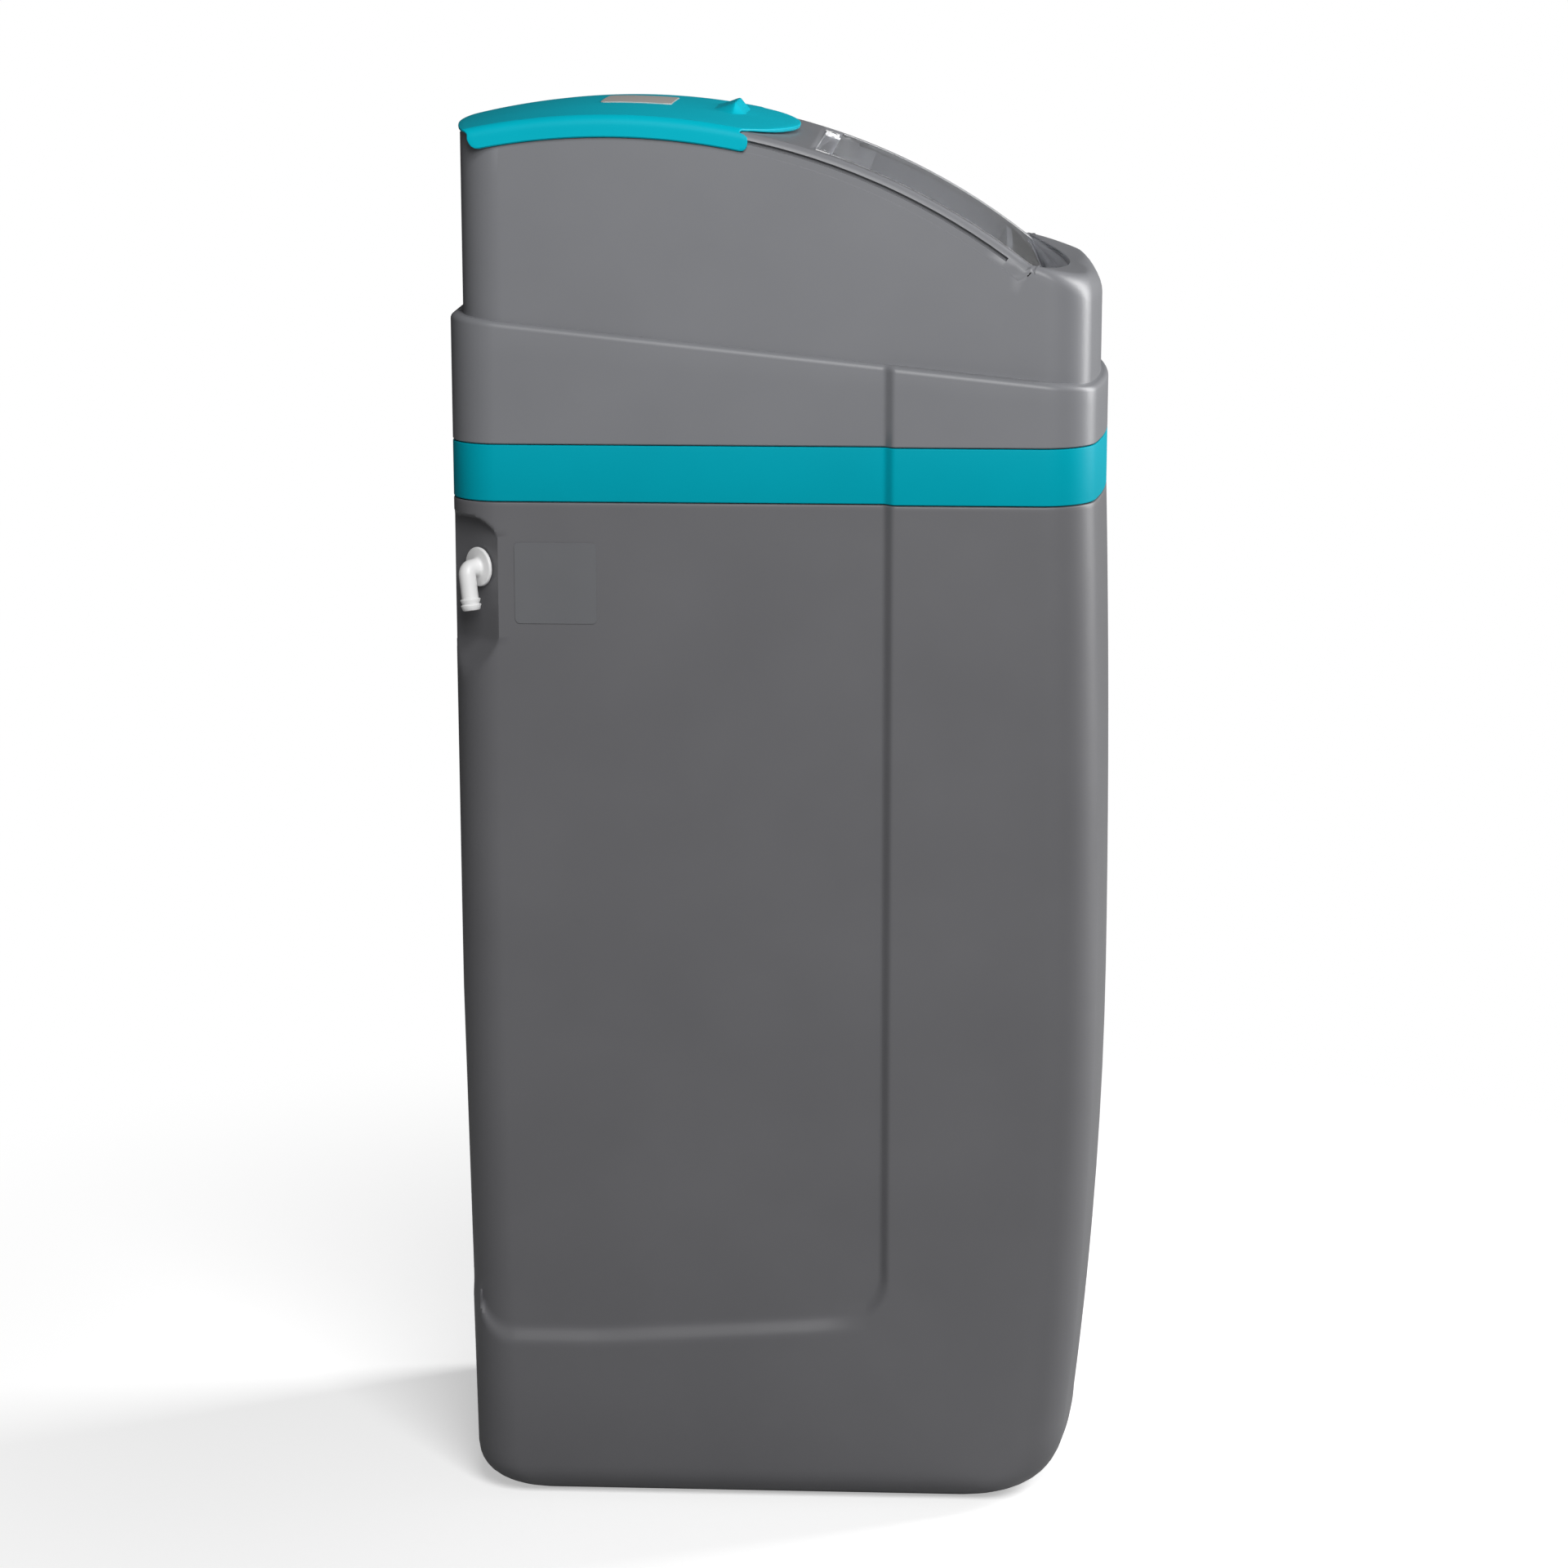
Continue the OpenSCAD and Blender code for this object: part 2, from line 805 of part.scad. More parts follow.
// Room for the lid over the cover
module lid_room() {
    difference() {
        behind_bow(lid_travel, lid_gap);
        arc_disc(track_r, channel_y, shoulder_r - channel_in);
        arc_disc(channel_r, half_w, rim);
    }
}

module back_hole(y, z, r) {
    translate([back_x - bite, y, z]) rotate([0, 90, 0]) cylinder(r = r, h = socket_l);
}

module top_cover() {
    color(grey) difference() {
        union() {
            difference() {
                cover_form(0);
                translate([0, 0, -2 * tiny]) cover_form(cover_wall);
            }
            window_frame();
        }
        lid_room();
        intersection() {
            arc_block(rebate_r, lid_r + bite, -pane_y - pane_gap, pane_y + pane_gap, rebate_back, past_nose);
            behind_bow(lid_travel, lid_gap);
        }
        intersection() {
            arc_block(tray_r, lid_r, -window_y, window_y, window_back, past_nose);
            behind_bow(lid_travel, -2 * pane_ledge);
        }
        for (s = [0, 1]) mirror([0, s, 0]) {
            on_hinge() translate([-trough_back, knuckle_y - bite, -trough_deep])
                cube([trough_back + trough_front, trough_end - knuckle_y + bite, 2 * trough_deep]);
            arc_block(slot_r, slot_r + slot_h, channel_y - slot_in, half_w, slot_back, slot_front);
            back_hole(pipe_y, barrel_z, socket_r + fit);
        }
        translate([back_x + cover_step + cover_wall + salt_lip, 0, cabinet_h + skirt_ledge]) salt_prism();
        back_hole(-drain_y, line_z, drain_r + fit);
        back_hole(0, line_z, inlet_r + fit);
    }
}

module salt_prism() {
    linear_extrude(big / 4) {
        translate([salt_r, -salt_w / 2]) square([salt_l - 2 * salt_r, salt_w]);
        translate([0, salt_r - salt_w / 2]) square([salt_l, salt_w - 2 * salt_r]);
        for (x = [salt_r, salt_l - salt_r], s = [-1, 1])
            translate([x, s * (salt_w / 2 - salt_r)]) circle(salt_r);
    }
}

module salt_lid() {
    color(teal) {
        intersection() {
            difference() {
                arc_disc(lid_r, lid_y, shoulder_r + lid_t);
                arc_disc(lid_in_r, lid_in_y, shoulder_r);
                arc_disc(skirt_r, half_w, rim);
            }
            behind_bow(0, 0);
            ahead_of(lid_back);
        }
        finger_grip();
    }
}

module finger_grip() {
    base = lid_r - lid_t * 0.7;
    shoulder = lid_r + grip_h * 0.8;
    top = lid_r + grip_h;
    crest = 3;
    flank = crest * 1.6;
    back = grip_l * 0.55;
    on_arc(grip_at) rotate([90, 0, 0]) linear_extrude(grip_w, center = true) polygon([
        [-back, base], [-flank, shoulder], [-crest / 2, top],
        [crest / 2, top], [flank, shoulder], [grip_l - back, base]]);
}

module lid_glides() {
    color(dark) for (s = [0, 1], a = [-glide_a, glide_a]) mirror([0, s, 0])
        arc_block(slot_r + lid_gap, slot_r + slot_h - lid_gap, channel_y - slot_in + glide_play,
            lid_in_y - seat, a - glide_half, a + glide_half);
}

module badge_plate() {
    half_a = badge_l / lid_r * 90 / PI;
    color(steel) arc_block(lid_r + tiny, lid_r + plate_t, -badge_w / 2, badge_w / 2,
        badge_at - half_a, badge_at + half_a);
}

// Place on the window's hinge axis, with local X forward along the arc
module on_hinge() {
    on_arc(hinge_at) translate([0, 0, hinge_r]) children();
}

module display_window() {
    color([0.85, 0.9, 0.92, 0.4]) {
        intersection() {
            arc_block(track_r - pane_t, track_r - seat, -pane_y, pane_y, pane_back, past_nose);
            behind_bow(lid_travel, lid_gap - pane_gap);
        }
        for (s = [0, 1]) mirror([0, s, 0]) on_hinge() translate([0, knuckle_y, 0]) difference() {
            union() {
                rotate([-90, 0, 0]) cylinder(r = knuckle_r, h = knuckle_l);
                translate([0, 0, -arm_low]) cube([arm_l, knuckle_l, arm_low + hinge_in - pane_t + arm_bite]);
            }
            translate([0, -bite, 0]) rotate([-90, 0, 0]) cylinder(r = pin_r + fit, h = knuckle_l + 2 * bite);
        }
    }
}

module hinge_pins() {
    color(steel) for (s = [0, 1]) mirror([0, s, 0]) on_hinge() translate([0, knuckle_y, 0])
        rotate([-90, 0, 0]) cylinder(r = pin_r, h = knuckle_l + block_l);
}

module hinge_blocks() {
    long = block_l + seat;
    color(white) for (s = [0, 1]) mirror([0, s, 0]) on_hinge()
        translate([0, knuckle_y + knuckle_l + seat, 0]) difference() {
            union() {
                translate([seat - trough_back, 0, -block_foot])
                    cube([trough_back + knuckle_r, long, block_foot + knuckle_r - block_clear]);
                translate([0, 0, -block_foot])
                    cube([trough_front - seat, long, block_foot + hinge_in - pane_t - block_clear]);
            }
            translate([0, -bite, 0]) rotate([-90, 0, 0]) cylinder(r = pin_r + tiny, h = long + 2 * bite);
        }
}

// Place on the control panel's floor, with local Z outward
module on_panel() {
    on_arc(panel_at) translate([0, 0, tray_r]) children();
}

module button_at(i) {
    translate([button_x, (i - 2.5) * button_pitch, 0]) children();
}

module control_panel() {
    color(dark) difference() {
        union() {
            intersection() {
                on_panel() translate([-tray_l / 2, -tray_y, -panel_t]) cube([tray_l, 2 * tray_y, big / 4]);
                arc_disc(flange_r, half_w, rim);
            }
            intersection() {
                arc_block(flange_r - panel_t, flange_r, -pane_y, pane_y, flange_back, past_nose);
                on_panel() translate([-big / 2, -big / 2, 0])
                    cube([big / 2 + tray_l / 2 + flange_lip, big, big]);
            }
            on_panel() post_places() translate([0, 0, -board_in])
                cylinder(r = post_r, h = board_in - panel_t + tiny);
        }
        on_panel() translate([panel_t - tray_l / 2, panel_t - tray_y, 0])
            cube([tray_l - 2 * panel_t, 2 * (tray_y - panel_t), big / 4]);
        on_panel() {
            for (i = [1:4]) button_at(i) translate([0, 0, -panel_t - bite])
                cylinder(r = button_r + seat, h = panel_t + 2 * bite);
            post_places() translate([0, 0, -board_in - bite])
                cylinder(r = board_screw + tiny, h = post_depth + bite);
        }
    }
}

module post_places() {
    for (x = [-1, 1], y = [-1, 1])
        translate([x * (board_x - post_in), y * (board_w / 2 - post_in), 0]) children();
}

module lcd_screen() {
    color([0.35, 0.42, 0.4]) on_panel() translate([-lcd_l / 2, -lcd_w / 2, 0]) cube([lcd_l, lcd_w, lcd_t]);
}

// Button cap through the panel, with its lip under the floor and its stem over the board
module button(i) {
    color(white) on_panel() button_at(i) translate([0, 0, -panel_t - button_lip]) {
        cylinder(r = button_r, h = button_lip + panel_t + button_up);
        cylinder(r = button_r + head_out, h = button_lip - button_play);
    }
}

module button_1() { button(1); }
module button_2() { button(2); }
module button_3() { button(3); }
module button_4() { button(4); }

module circuit_board() {
    switch_h = board_in - panel_t - button_lip - button_travel - switch_gap;
    color([0.1, 0.35, 0.2]) on_panel() translate([0, 0, -board_in]) difference() {
        union() {
            translate([-board_x, -board_w / 2, -board_t]) cube([2 * board_x, board_w, board_t]);
            for (i = [1:4]) button_at(i) cylinder(r = switch_r, h = switch_h);
        }
        post_places() translate([0, 0, -board_t - bite]) cylinder(r = board_hole, h = board_t + 2 * bite);
    }
}

module panel_screws() {
    color(steel) on_panel() post_places() translate([0, 0, -board_in - board_t]) {
        cylinder(r = board_screw, h = board_t + post_depth);
        translate([0, 0, -head_t]) cylinder(r = board_hole + head_out, h = head_t);
    }
}

module side_label() {
    color([0.6, 0.6, 0.62]) on_side(-1)
        translate([back_x + label_in - label_s / 2, tiny - recess, -label_s / 2 - label_drop])
            cube([label_s, plate_t, label_s]);
}

// Place on the elbow's axis at the pocket's face, with local Z outward
module on_elbow() {
    on_pocket(cabinet_h - elbow_drop) translate([0, elbow_shift, 0]) rotate([0, 90, 0]) children();
}

module elbow_tube(r, extra) {
    translate([0, 0, -stem_l - extra]) cylinder(r = r, h = bend_at + stem_l + extra);
    translate([0, 0, bend_at]) sphere(r);
    translate([0, 0, bend_at]) rotate([0, 90, 0]) cylinder(r = r, h = elbow_leg + extra);
}

module overflow_elbow() {
    color(white) on_elbow() rotate([0, 0, elbow_tilt]) difference() {
        union() {
            elbow_tube(elbow_r, 0);
            translate([0, 0, gasket_t]) cylinder(r = elbow_flange, h = elbow_flange_t);
            translate([0, 0, -stem_l]) cylinder(r = stem_r, h = stem_l + gasket_t);
            for (k = [1:barb_n]) translate([elbow_leg - k * barb_pitch, 0, bend_at]) rotate([0, 90, 0])
                cylinder(r1 = elbow_r + barb_up, r2 = elbow_r, h = barb_pitch - barb_up / 2);
        }
        elbow_tube(elbow_bore, bite);
    }
}

module overflow_gasket() {
    color(black) on_elbow() difference() {
        cylinder(r = elbow_flange - gasket_in, h = gasket_t);
        translate([0, 0, -bite]) cylinder(r = stem_r + fit, h = gasket_t + 2 * bite);
    }
}

module overflow_nut() {
    color(white) on_elbow() translate([0, 0, -wall - nut_t]) difference() {
        cylinder(r = stem_r + nut_wall, h = nut_t, $fn = 6);
        translate([0, 0, -bite]) cylinder(r = stem_r + fit, h = nut_t + 2 * bite);
    }
}

// Tank profile from its floor to its neck, grown by a distance
module tank_form(g) {
    top = neck_z - crown_in;
    r = tank_r + g;
    d = tank_dome + g;
    neck = tank_neck + g;
    n = 10;
    translate([tank_x, 0, 0]) rotate_extrude() polygon(concat(
        [[0, tank_z - g]],
        [for (i = [1:n]) [r * sin(90 * i / n), tank_z + tank_dome - d * cos(90 * i / n)]],
        [for (i = [0:n - 3]) [r * cos(90 * i / n), top - tank_dome + d * sin(90 * i / n)]],
        [[neck, top - tank_dome + d * sin(acos(neck / r))], [neck, top], [0, top]]));
}

module at_tank(z) {
    translate([tank_x, 0, z]) children();
}

module resin_tank() {
    color([0.2, 0.3, 0.42]) difference() {
        union() {
            tank_form(0);
            at_tank(neck_z - neck_l) cylinder(r = tank_neck, h = neck_l);
        }
        tank_form(-tank_wall);
        at_tank(neck_z - 2 * neck_l) cylinder(r = spigot_r + seat, h = 3 * neck_l);
        at_tank(neck_z - 2 * seal_r) difference() {
            cylinder(r = spigot_r + seal_in + seal_r + fit, h = neck_l);
            cylinder(r = spigot_r + seal_in - seal_r - fit, h = neck_l);
        }
    }
}

module tank_boot() {
    color(black) difference() {
        at_tank(wall) cylinder(r1 = tank_r - boot_in, r2 = tank_r - boot_out, h = boot_h);
        tank_form(seat);
    }
}

module resin_bed() {
    color([0.72, 0.5, 0.2]) difference() {
        intersection() {
            tank_form(-tank_wall - seat);
            at_tank(0) cylinder(r = tank_r, h = tank_z + resin_h);
        }
        at_tank(0) cylinder(r = riser_r + seat, h = big);
        at_tank(0) cylinder(r = distributor_r + seat, h = distributor_top + seat);
    }
}

module riser_tube() {
    color(white) at_tank(riser_foot) difference() {
        cylinder(r = riser_r, h = riser_top - riser_foot);
        translate([0, 0, -bite]) cylinder(r = riser_r - riser_wall, h = big);
    }
}

// Upright slots round a basket's or distributor's wall
module slots(r, h) {
    for (i = [0:slot_n - 1]) rotate([0, 0, 360 * i / slot_n])
        translate([riser_r + riser_wall, -slot_w / 2, 0]) cube([r, slot_w, h]);
}

module bottom_distributor() {
    h = distributor_top - distributor_z;
    color(grey) at_tank(distributor_z) difference() {
        cylinder(r = distributor_r, h = h);
        translate([0, 0, riser_foot - distributor_z]) cylinder(r = riser_r + fit, h = h);
        translate([0, 0, tank_wall]) cylinder(r = riser_r - riser_wall, h = h);
        translate([0, 0, tank_wall + riser_wall]) slots(distributor_r, h / 3);
    }
}

module top_basket() {
    h = basket_h;
    color(grey) at_tank(neck_z - spigot_l - h) difference() {
        cylinder(r = basket_r, h = h);
        translate([0, 0, -bite]) cylinder(r = riser_r + fit, h = h + 2 * bite);
        translate([0, 0, basket_wall]) difference() {
            cylinder(r = basket_r - basket_wall, h = h);
            cylinder(r = riser_r + basket_wall, h = h);
        }
        translate([0, 0, 2 * basket_wall]) slots(basket_r, h - 4 * basket_wall);
    }
}

module tank_seal() {
    color(black) at_tank(neck_z) rotate_extrude() translate([spigot_r + seal_in, -seal_r])
        circle(seal_r - tiny);
}

// Lies along the valve's barrel, with local Z forward
module along_barrel(x) {
    translate([x, 0, barrel_z]) rotate([0, 90, 0]) children();
}

module ring_x(x, r, bore, w) {
    along_barrel(x) difference() {
        cylinder(r = r, h = w);
        translate([0, 0, -bite]) cylinder(r = bore, h = w + 2 * bite);
    }
}

module screw_places() {
    for (a = [45:90:315]) rotate([0, 0, a]) translate([screw_ring, 0, 0]) children();
}

module valve_body() {
    color(black) difference() {
        union() {
            at_tank(neck_z - spigot_l) cylinder(r = spigot_r, h = spigot_l + bite);
            at_tank(neck_z) cylinder(r = tank_neck + flange_out, h = barrel_up - barrel_r + flange_out);
            along_barrel(barrel_back) cylinder(r = barrel_r, h = barrel_front - barrel_back);
            at_tank(barrel_z) rotate([90, 0, 0]) cylinder(r = port_r, h = 2 * port_y, center = true);
            for (x = [injector_x, drain_x])
                translate([x, 0, barrel_z]) cylinder(r = boss_r, h = boss_top - barrel_z);
        }
        along_barrel(stack_x) cylinder(r = barrel_bore, h = big / 4);
        at_tank(barrel_z) rotate([90, 0, 0]) cylinder(r = port_bore, h = big / 4, center = true);
        at_tank(neck_z - spigot_l - bite)
            cylinder(r = riser_r + fit, h = spigot_l + barrel_up - barrel_bore + 2 * bite);
        for (a = [30:60:330]) at_tank(neck_z - spigot_l - bite) rotate([0, 0, a])
            translate([(riser_r + spigot_r) / 2, 0, 0])
                cylinder(r = flow_r, h = spigot_l + barrel_up - barrel_r + bite);
        translate([injector_x, 0, barrel_z + barrel_r]) cylinder(r = injector_bore, h = big / 4);
        translate([drain_x, 0, barrel_z + barrel_r])
            cylinder(r = drain_way, h = boss_top - boss_cap - barrel_z - barrel_r);
        translate([injector_x, 0, line_z]) rotate([-90, 0, 0]) cylinder(r = line_r + fit, h = boss_r + bite);
        translate([drain_x, 0, line_z]) rotate([90, 0, 0]) cylinder(r = line_r + fit, h = boss_r + bite);
        along_barrel(barrel_front - screw_in - bite) screw_places() cylinder(r = screw_r, h = 2 * screw_in);
    }
}

module end_plug() {
    color(white) difference() {
        union() {
            along_barrel(stack_end) cylinder(r = barrel_bore - fit, h = barrel_front - stack_end + bite);
            along_barrel(barrel_front) cylinder(r = barrel_r, h = plug_t);
        }
        along_barrel(0) cylinder(r = rod_r + fit, h = big / 4);
        along_barrel(barrel_front - bite) screw_places() cylinder(r = screw_r, h = 2 * screw_in);
    }
}

module piston() {
    color(white) difference() {
        along_barrel(piston_front - piston_l) cylinder(r = piston_r, h = piston_l);
        for (k = [1, 3]) ring_x(piston_front - piston_l + k * groove_w, piston_r + bite,
            piston_r - groove_in, groove_w);
    }
}

module piston_rod() {
    color(steel) along_barrel(piston_front) cylinder(r = rod_r, h = rod_end - piston_front);
}

module piston_spacers() {
    way = spacer_w / 2 - 2.5;
    clear = piston_r + 3;
    color(grey) for (k = [0:seal_n - 2]) difference() {
        ring_x(stack_x + seal_w + k * stack_step, barrel_bore - fit, clear, spacer_w);
        along_barrel(stack_x + seal_w + k * stack_step + spacer_w / 2) for (a = [0:60:120])
            rotate([90, 0, a]) cylinder(r = way, h = big, center = true);
    }
}

module piston_seals() {
    color(black) for (k = [0:seal_n - 1])
        ring_x(stack_x + k * stack_step, barrel_bore - fit, piston_r + fit, seal_w);
}

module drive_bracket() {
    side = gear_r + bracket_edge;
    tall = side + gear_span + motor_r + bracket_edge;
    color(dark) difference() {
        translate([plate_x, -side, barrel_z - side]) cube([bracket_t, 2 * side, tall]);
        along_barrel(plate_x - bite) {
            cylinder(r = hub_r + fit, h = bracket_t + 2 * bite);
            translate([-gear_span, 0, 0]) cylinder(r = shaft_r + shaft_clear, h = bracket_t + 2 * bite);
            screw_places() cylinder(r = screw_r, h = bracket_t + 2 * bite);
        }
    }
}

module bracket_screws() {
    tip = barrel_front - screw_in;
    face = plate_x + bracket_t;
    color(steel) {
        along_barrel(tip) screw_places() cylinder(r = screw_r - fit, h = face - tip);
        along_barrel(face) screw_places() cylinder(r = screw_head, h = screw_head_t);
    }
}

// Involute tooth flank's polar angle at a radius
function inv_angle(rb, r) = r <= rb ? 0 : sqrt(pow(r / rb, 2) - 1) * 180 / PI - acos(rb / r);

// Spur gear outline with involute flanks and a little backlash
function gear_outline(n, m) =
    let (rp = m * n / 2, rb = rp * cos(20), root = rp - 1.25 * m, tip = rp + 0.95 * m,
        half = 90 / n - 0.12 * 180 / PI / rp / 2 + inv_angle(rb, rp),
        radii = [root, max(root, rb), (rb + rp) / 2, rp, (rp + tip) / 2, tip])
    [for (t = [0:n - 1], s = [-1, 1], i = [0:5])
        let (r = radii[s < 0 ? i : 5 - i], a = 360 * t / n + s * (half - inv_angle(rb, r)))
        [r * cos(a), r * sin(a)]];

module drive_gear() {
    color(white) difference() {
        union() {
            along_barrel(gear_x) linear_extrude(gear_w) polygon(gear_outline(gear_teeth, gear_m));
            along_barrel(plate_x + seat) cylinder(r = hub_r, h = gear_x - plate_x);
        }
        along_barrel(plate_x) cylinder(r = rod_r + fit, h = big / 4);
    }
}

module motor_pinion() {
    // a gap faces the gear where the gear points a tooth at it, and a tooth where it doesn't
    turn = gear_teeth % 2 == 0 ? 180 / pinion_teeth : 0;
    color(steel) translate([0, 0, gear_span]) {
        along_barrel(gear_x - pinion_over) rotate([0, 0, turn]) linear_extrude(gear_w + 2 * pinion_over)
            polygon(gear_outline(pinion_teeth, gear_m));
        along_barrel(plate_x - shaft_in) cylinder(r = shaft_r, h = gear_x - plate_x + shaft_in);
    }
}

module drive_motor() {
    color(steel) translate([0, 0, gear_span]) difference() {
        along_barrel(plate_x - motor_l) cylinder(r = motor_r, h = motor_l);
        along_barrel(plate_x - shaft_in - bite) cylinder(r = shaft_r + fit, h = motor_l);
    }
}

module injector() {
    low = barrel_z + barrel_r;
    tall = line_z - line_r - low - bite;
    color(white) translate([injector_x, 0, low]) difference() {
        cylinder(r = injector_bore - fit, h = tall);
        translate([0, 0, -bite]) cylinder(r1 = jet_in, r2 = jet_out, h = tall + 2 * bite);
    }
}

module injector_cap() {
    color(black) translate([injector_x, 0, boss_top]) {
        cylinder(r = boss_r, h = boss_cap);
        translate([0, 0, -cap_plug]) cylinder(r = injector_bore - fit, h = cap_plug + bite);
    }
}

// Spider that carries one end of the meter's axle
module spider(y) {
    r = port_bore - fit;
    spoke = 2 * r - spider_rim;
    at_tank(barrel_z) translate([0, y, 0]) rotate([-90, 0, 0]) difference() {
        union() {
            difference() {
                cylinder(r = r, h = spider_t);
                translate([0, 0, -bite]) cylinder(r = r - spider_rim, h = spider_t + 2 * bite);
            }
            for (a = [0, 90]) rotate([0, 0, a])
                translate([-spoke / 2, -spoke_w / 2, 0]) cube([spoke, spoke_w, spider_t]);
            cylinder(r = axle_hub, h = spider_t);
        }
        translate([0, 0, -bite]) cylinder(r = axle_r + fit, h = spider_t + 2 * bite);
    }
}

module meter_cage() {
    color(white) {
        spider(cage_y);
        spider(cage_y + spider_t + rotor_l + 2 * rotor_gap);
    }
}

module meter_turbine() {
    hub = axle_hub + seat;
    vane = port_bore - rotor_gap - hub;
    color([0.15, 0.4, 0.7]) at_tank(barrel_z) translate([0, cage_y, 0]) rotate([-90, 0, 0]) {
        cylinder(r = axle_r, h = rotor_l + 2 * (spider_t + rotor_gap));
        translate([0, 0, spider_t + rotor_gap]) {
            cylinder(r = hub, h = rotor_l);
            for (a = [0:60:300]) rotate([0, 0, a])
                translate([hub - bite, -vane_t / 2, rotor_gap / 2])
                    cube([vane + bite, vane_t, rotor_l - rotor_gap]);
        }
    }
}

module elbow_run(s, r, extra) {
    at_tank(barrel_z) {
        translate([0, s * (port_y - extra), 0]) rotate([-s * 90, 0, 0])
            cylinder(r = r, h = pipe_y - port_y + extra);
        translate([0, s * pipe_y, 0]) rotate([0, 0, 180]) {
            sphere(r);
            rotate([0, 90, 0]) cylinder(r = r, h = elbow_out + extra);
        }
    }
}

module port_elbows() {
    color(black) for (s = [-1, 1]) difference() {
        elbow_run(s, elbow_or, 0);
        elbow_run(s, pipe_r - pipe_wall, bite);
        translate([tank_x - elbow_out - bite, s * pipe_y, barrel_z]) rotate([0, 90, 0])
            cylinder(r = pipe_r + fit, h = pipe_in + bite);
    }
}

module union_nuts() {
    color(black) for (s = [-1, 1]) at_tank(barrel_z) rotate([-s * 90, 0, 0])
        translate([0, 0, port_y - union_on]) difference() {
            cylinder(r = port_r + union_over, h = union_l, $fn = 8);
            translate([0, 0, -bite]) cylinder(r = port_r + fit, h = union_on + bite);
            cylinder(r = elbow_or + fit, h = union_l + bite);
        }
}

module water_pipes() {
    x0 = back_x + socket_l - pipe_in;
    x1 = tank_x - elbow_out + pipe_in;
    color(white) for (s = [-1, 1]) translate([x0, s * pipe_y, barrel_z]) rotate([0, 90, 0]) difference() {
        cylinder(r = pipe_r, h = x1 - x0);
        translate([0, 0, -bite]) cylinder(r = pipe_r - pipe_wall, h = x1 - x0 + 2 * bite);
    }
}

// Socket flush in the cover's back, with a collar against the wall's inside
module back_socket(y, z, r, l, bore, depth, tube, tube_wall, tube_in) {
    translate([back_x, y, z]) rotate([0, 90, 0]) difference() {
        union() {
            cylinder(r = r, h = l);
            translate([0, 0, cover_wall]) cylinder(r = r + collar_t, h = collar_t);
        }
        translate([0, 0, -bite]) {
            cylinder(r = bore, h = depth + bite);
            cylinder(r = tube - tube_wall, h = l + 2 * bite);
        }
        translate([0, 0, l - tube_in]) cylinder(r = tube + fit, h = tube_in + bite);
    }
}

module pipe_sockets() {
    color(black) for (s = [-1, 1]) back_socket(s * pipe_y, barrel_z, socket_r, socket_l, socket_bore,
        socket_depth, pipe_r, pipe_wall, pipe_in);
}

module drain_socket() {
    color(white) back_socket(-drain_y, line_z, drain_r, drain_depth + socket_stop + line_in, drain_bore,
        drain_depth, line_r, line_wall, line_in);
}

module power_inlet() {
    color(black) back_socket(0, line_z, inlet_r, inlet_l, inlet_bore, inlet_depth, lead_r, lead_r / 3,
        socket_stop);
}

// Quarter bend of a line, from local X to local Y about its middle
module bend() {
    rotate_extrude(angle = 90) translate([line_bend, 0]) difference() {
        circle(line_r, $fn = 32);
        circle(line_r - line_wall, $fn = 32);
    }
}

module tube(l) {
    difference() {
        cylinder(r = line_r, h = l, $fn = 32);
        translate([0, 0, -bite]) cylinder(r = line_r - line_wall, h = l + 2 * bite, $fn = 32);
    }
}

// Line from a boss on the valve, out to one side and then straight back
module side_line(x, s, y, back_end) {
    start = boss_r * 0.7;
    mirror([0, s < 0 ? 1 : 0, 0]) translate([0, 0, line_z]) {
        translate([x, start, 0]) rotate([-90, 0, 0]) tube(y - line_bend - start);
        translate([x - line_bend, y - line_bend, 0]) bend();
        translate([back_end, y, 0]) rotate([0, 90, 0]) tube(x - line_bend - back_end);
    }
}

module drain_line() {
    color(white) side_line(drain_x, -1, drain_y, back_x + drain_depth + socket_stop);
}

module brine_line() {
    low = valve_z + valve_h - line_seat;
    color(white) {
        side_line(injector_x, 1, line_y, well_cx + line_bend);
        translate([well_cx + line_bend, line_y, line_z - line_bend]) rotate([90, 0, 0])
            rotate([0, 0, 90]) bend();
        translate([well_cx, line_y, low]) tube(line_z - line_bend - low);
    }
}

module brine_well() {
    across = 2 * (well_r + bite);
    color(white) translate([well_cx, well_y, wall]) difference() {
        cylinder(r = well_r, h = well_z - wall);
        translate([0, 0, -bite]) cylinder(r = well_r - well_wall, h = big);
        for (a = [0:30:150], z = well_slot_rows) translate([0, 0, z]) rotate([0, 0, a])
            translate([-across / 2, -well_slot_w / 2, 0]) cube([across, well_slot_w, well_slot_h]);
    }
}

module well_cap() {
    plug = well_r - well_wall - fit;
    color(white) difference() {
        translate([well_cx, well_y, well_z]) union() {
            cylinder(r = well_r + cap_over, h = cap_t);
            translate([0, 0, -cap_in]) cylinder(r = plug, h = cap_in + tiny);
        }
        translate([well_cx, line_y, 0]) cylinder(r = line_r + fit, h = big);
        translate([well_cx, well_y, well_z - cap_in - bite]) difference() {
            cylinder(r = plug - cap_wall, h = cap_in + bite);
            translate([0, line_y - well_y, 0]) cylinder(r = line_r + 2 * cap_wall, h = cap_in + 2 * bite);
        }
    }
}

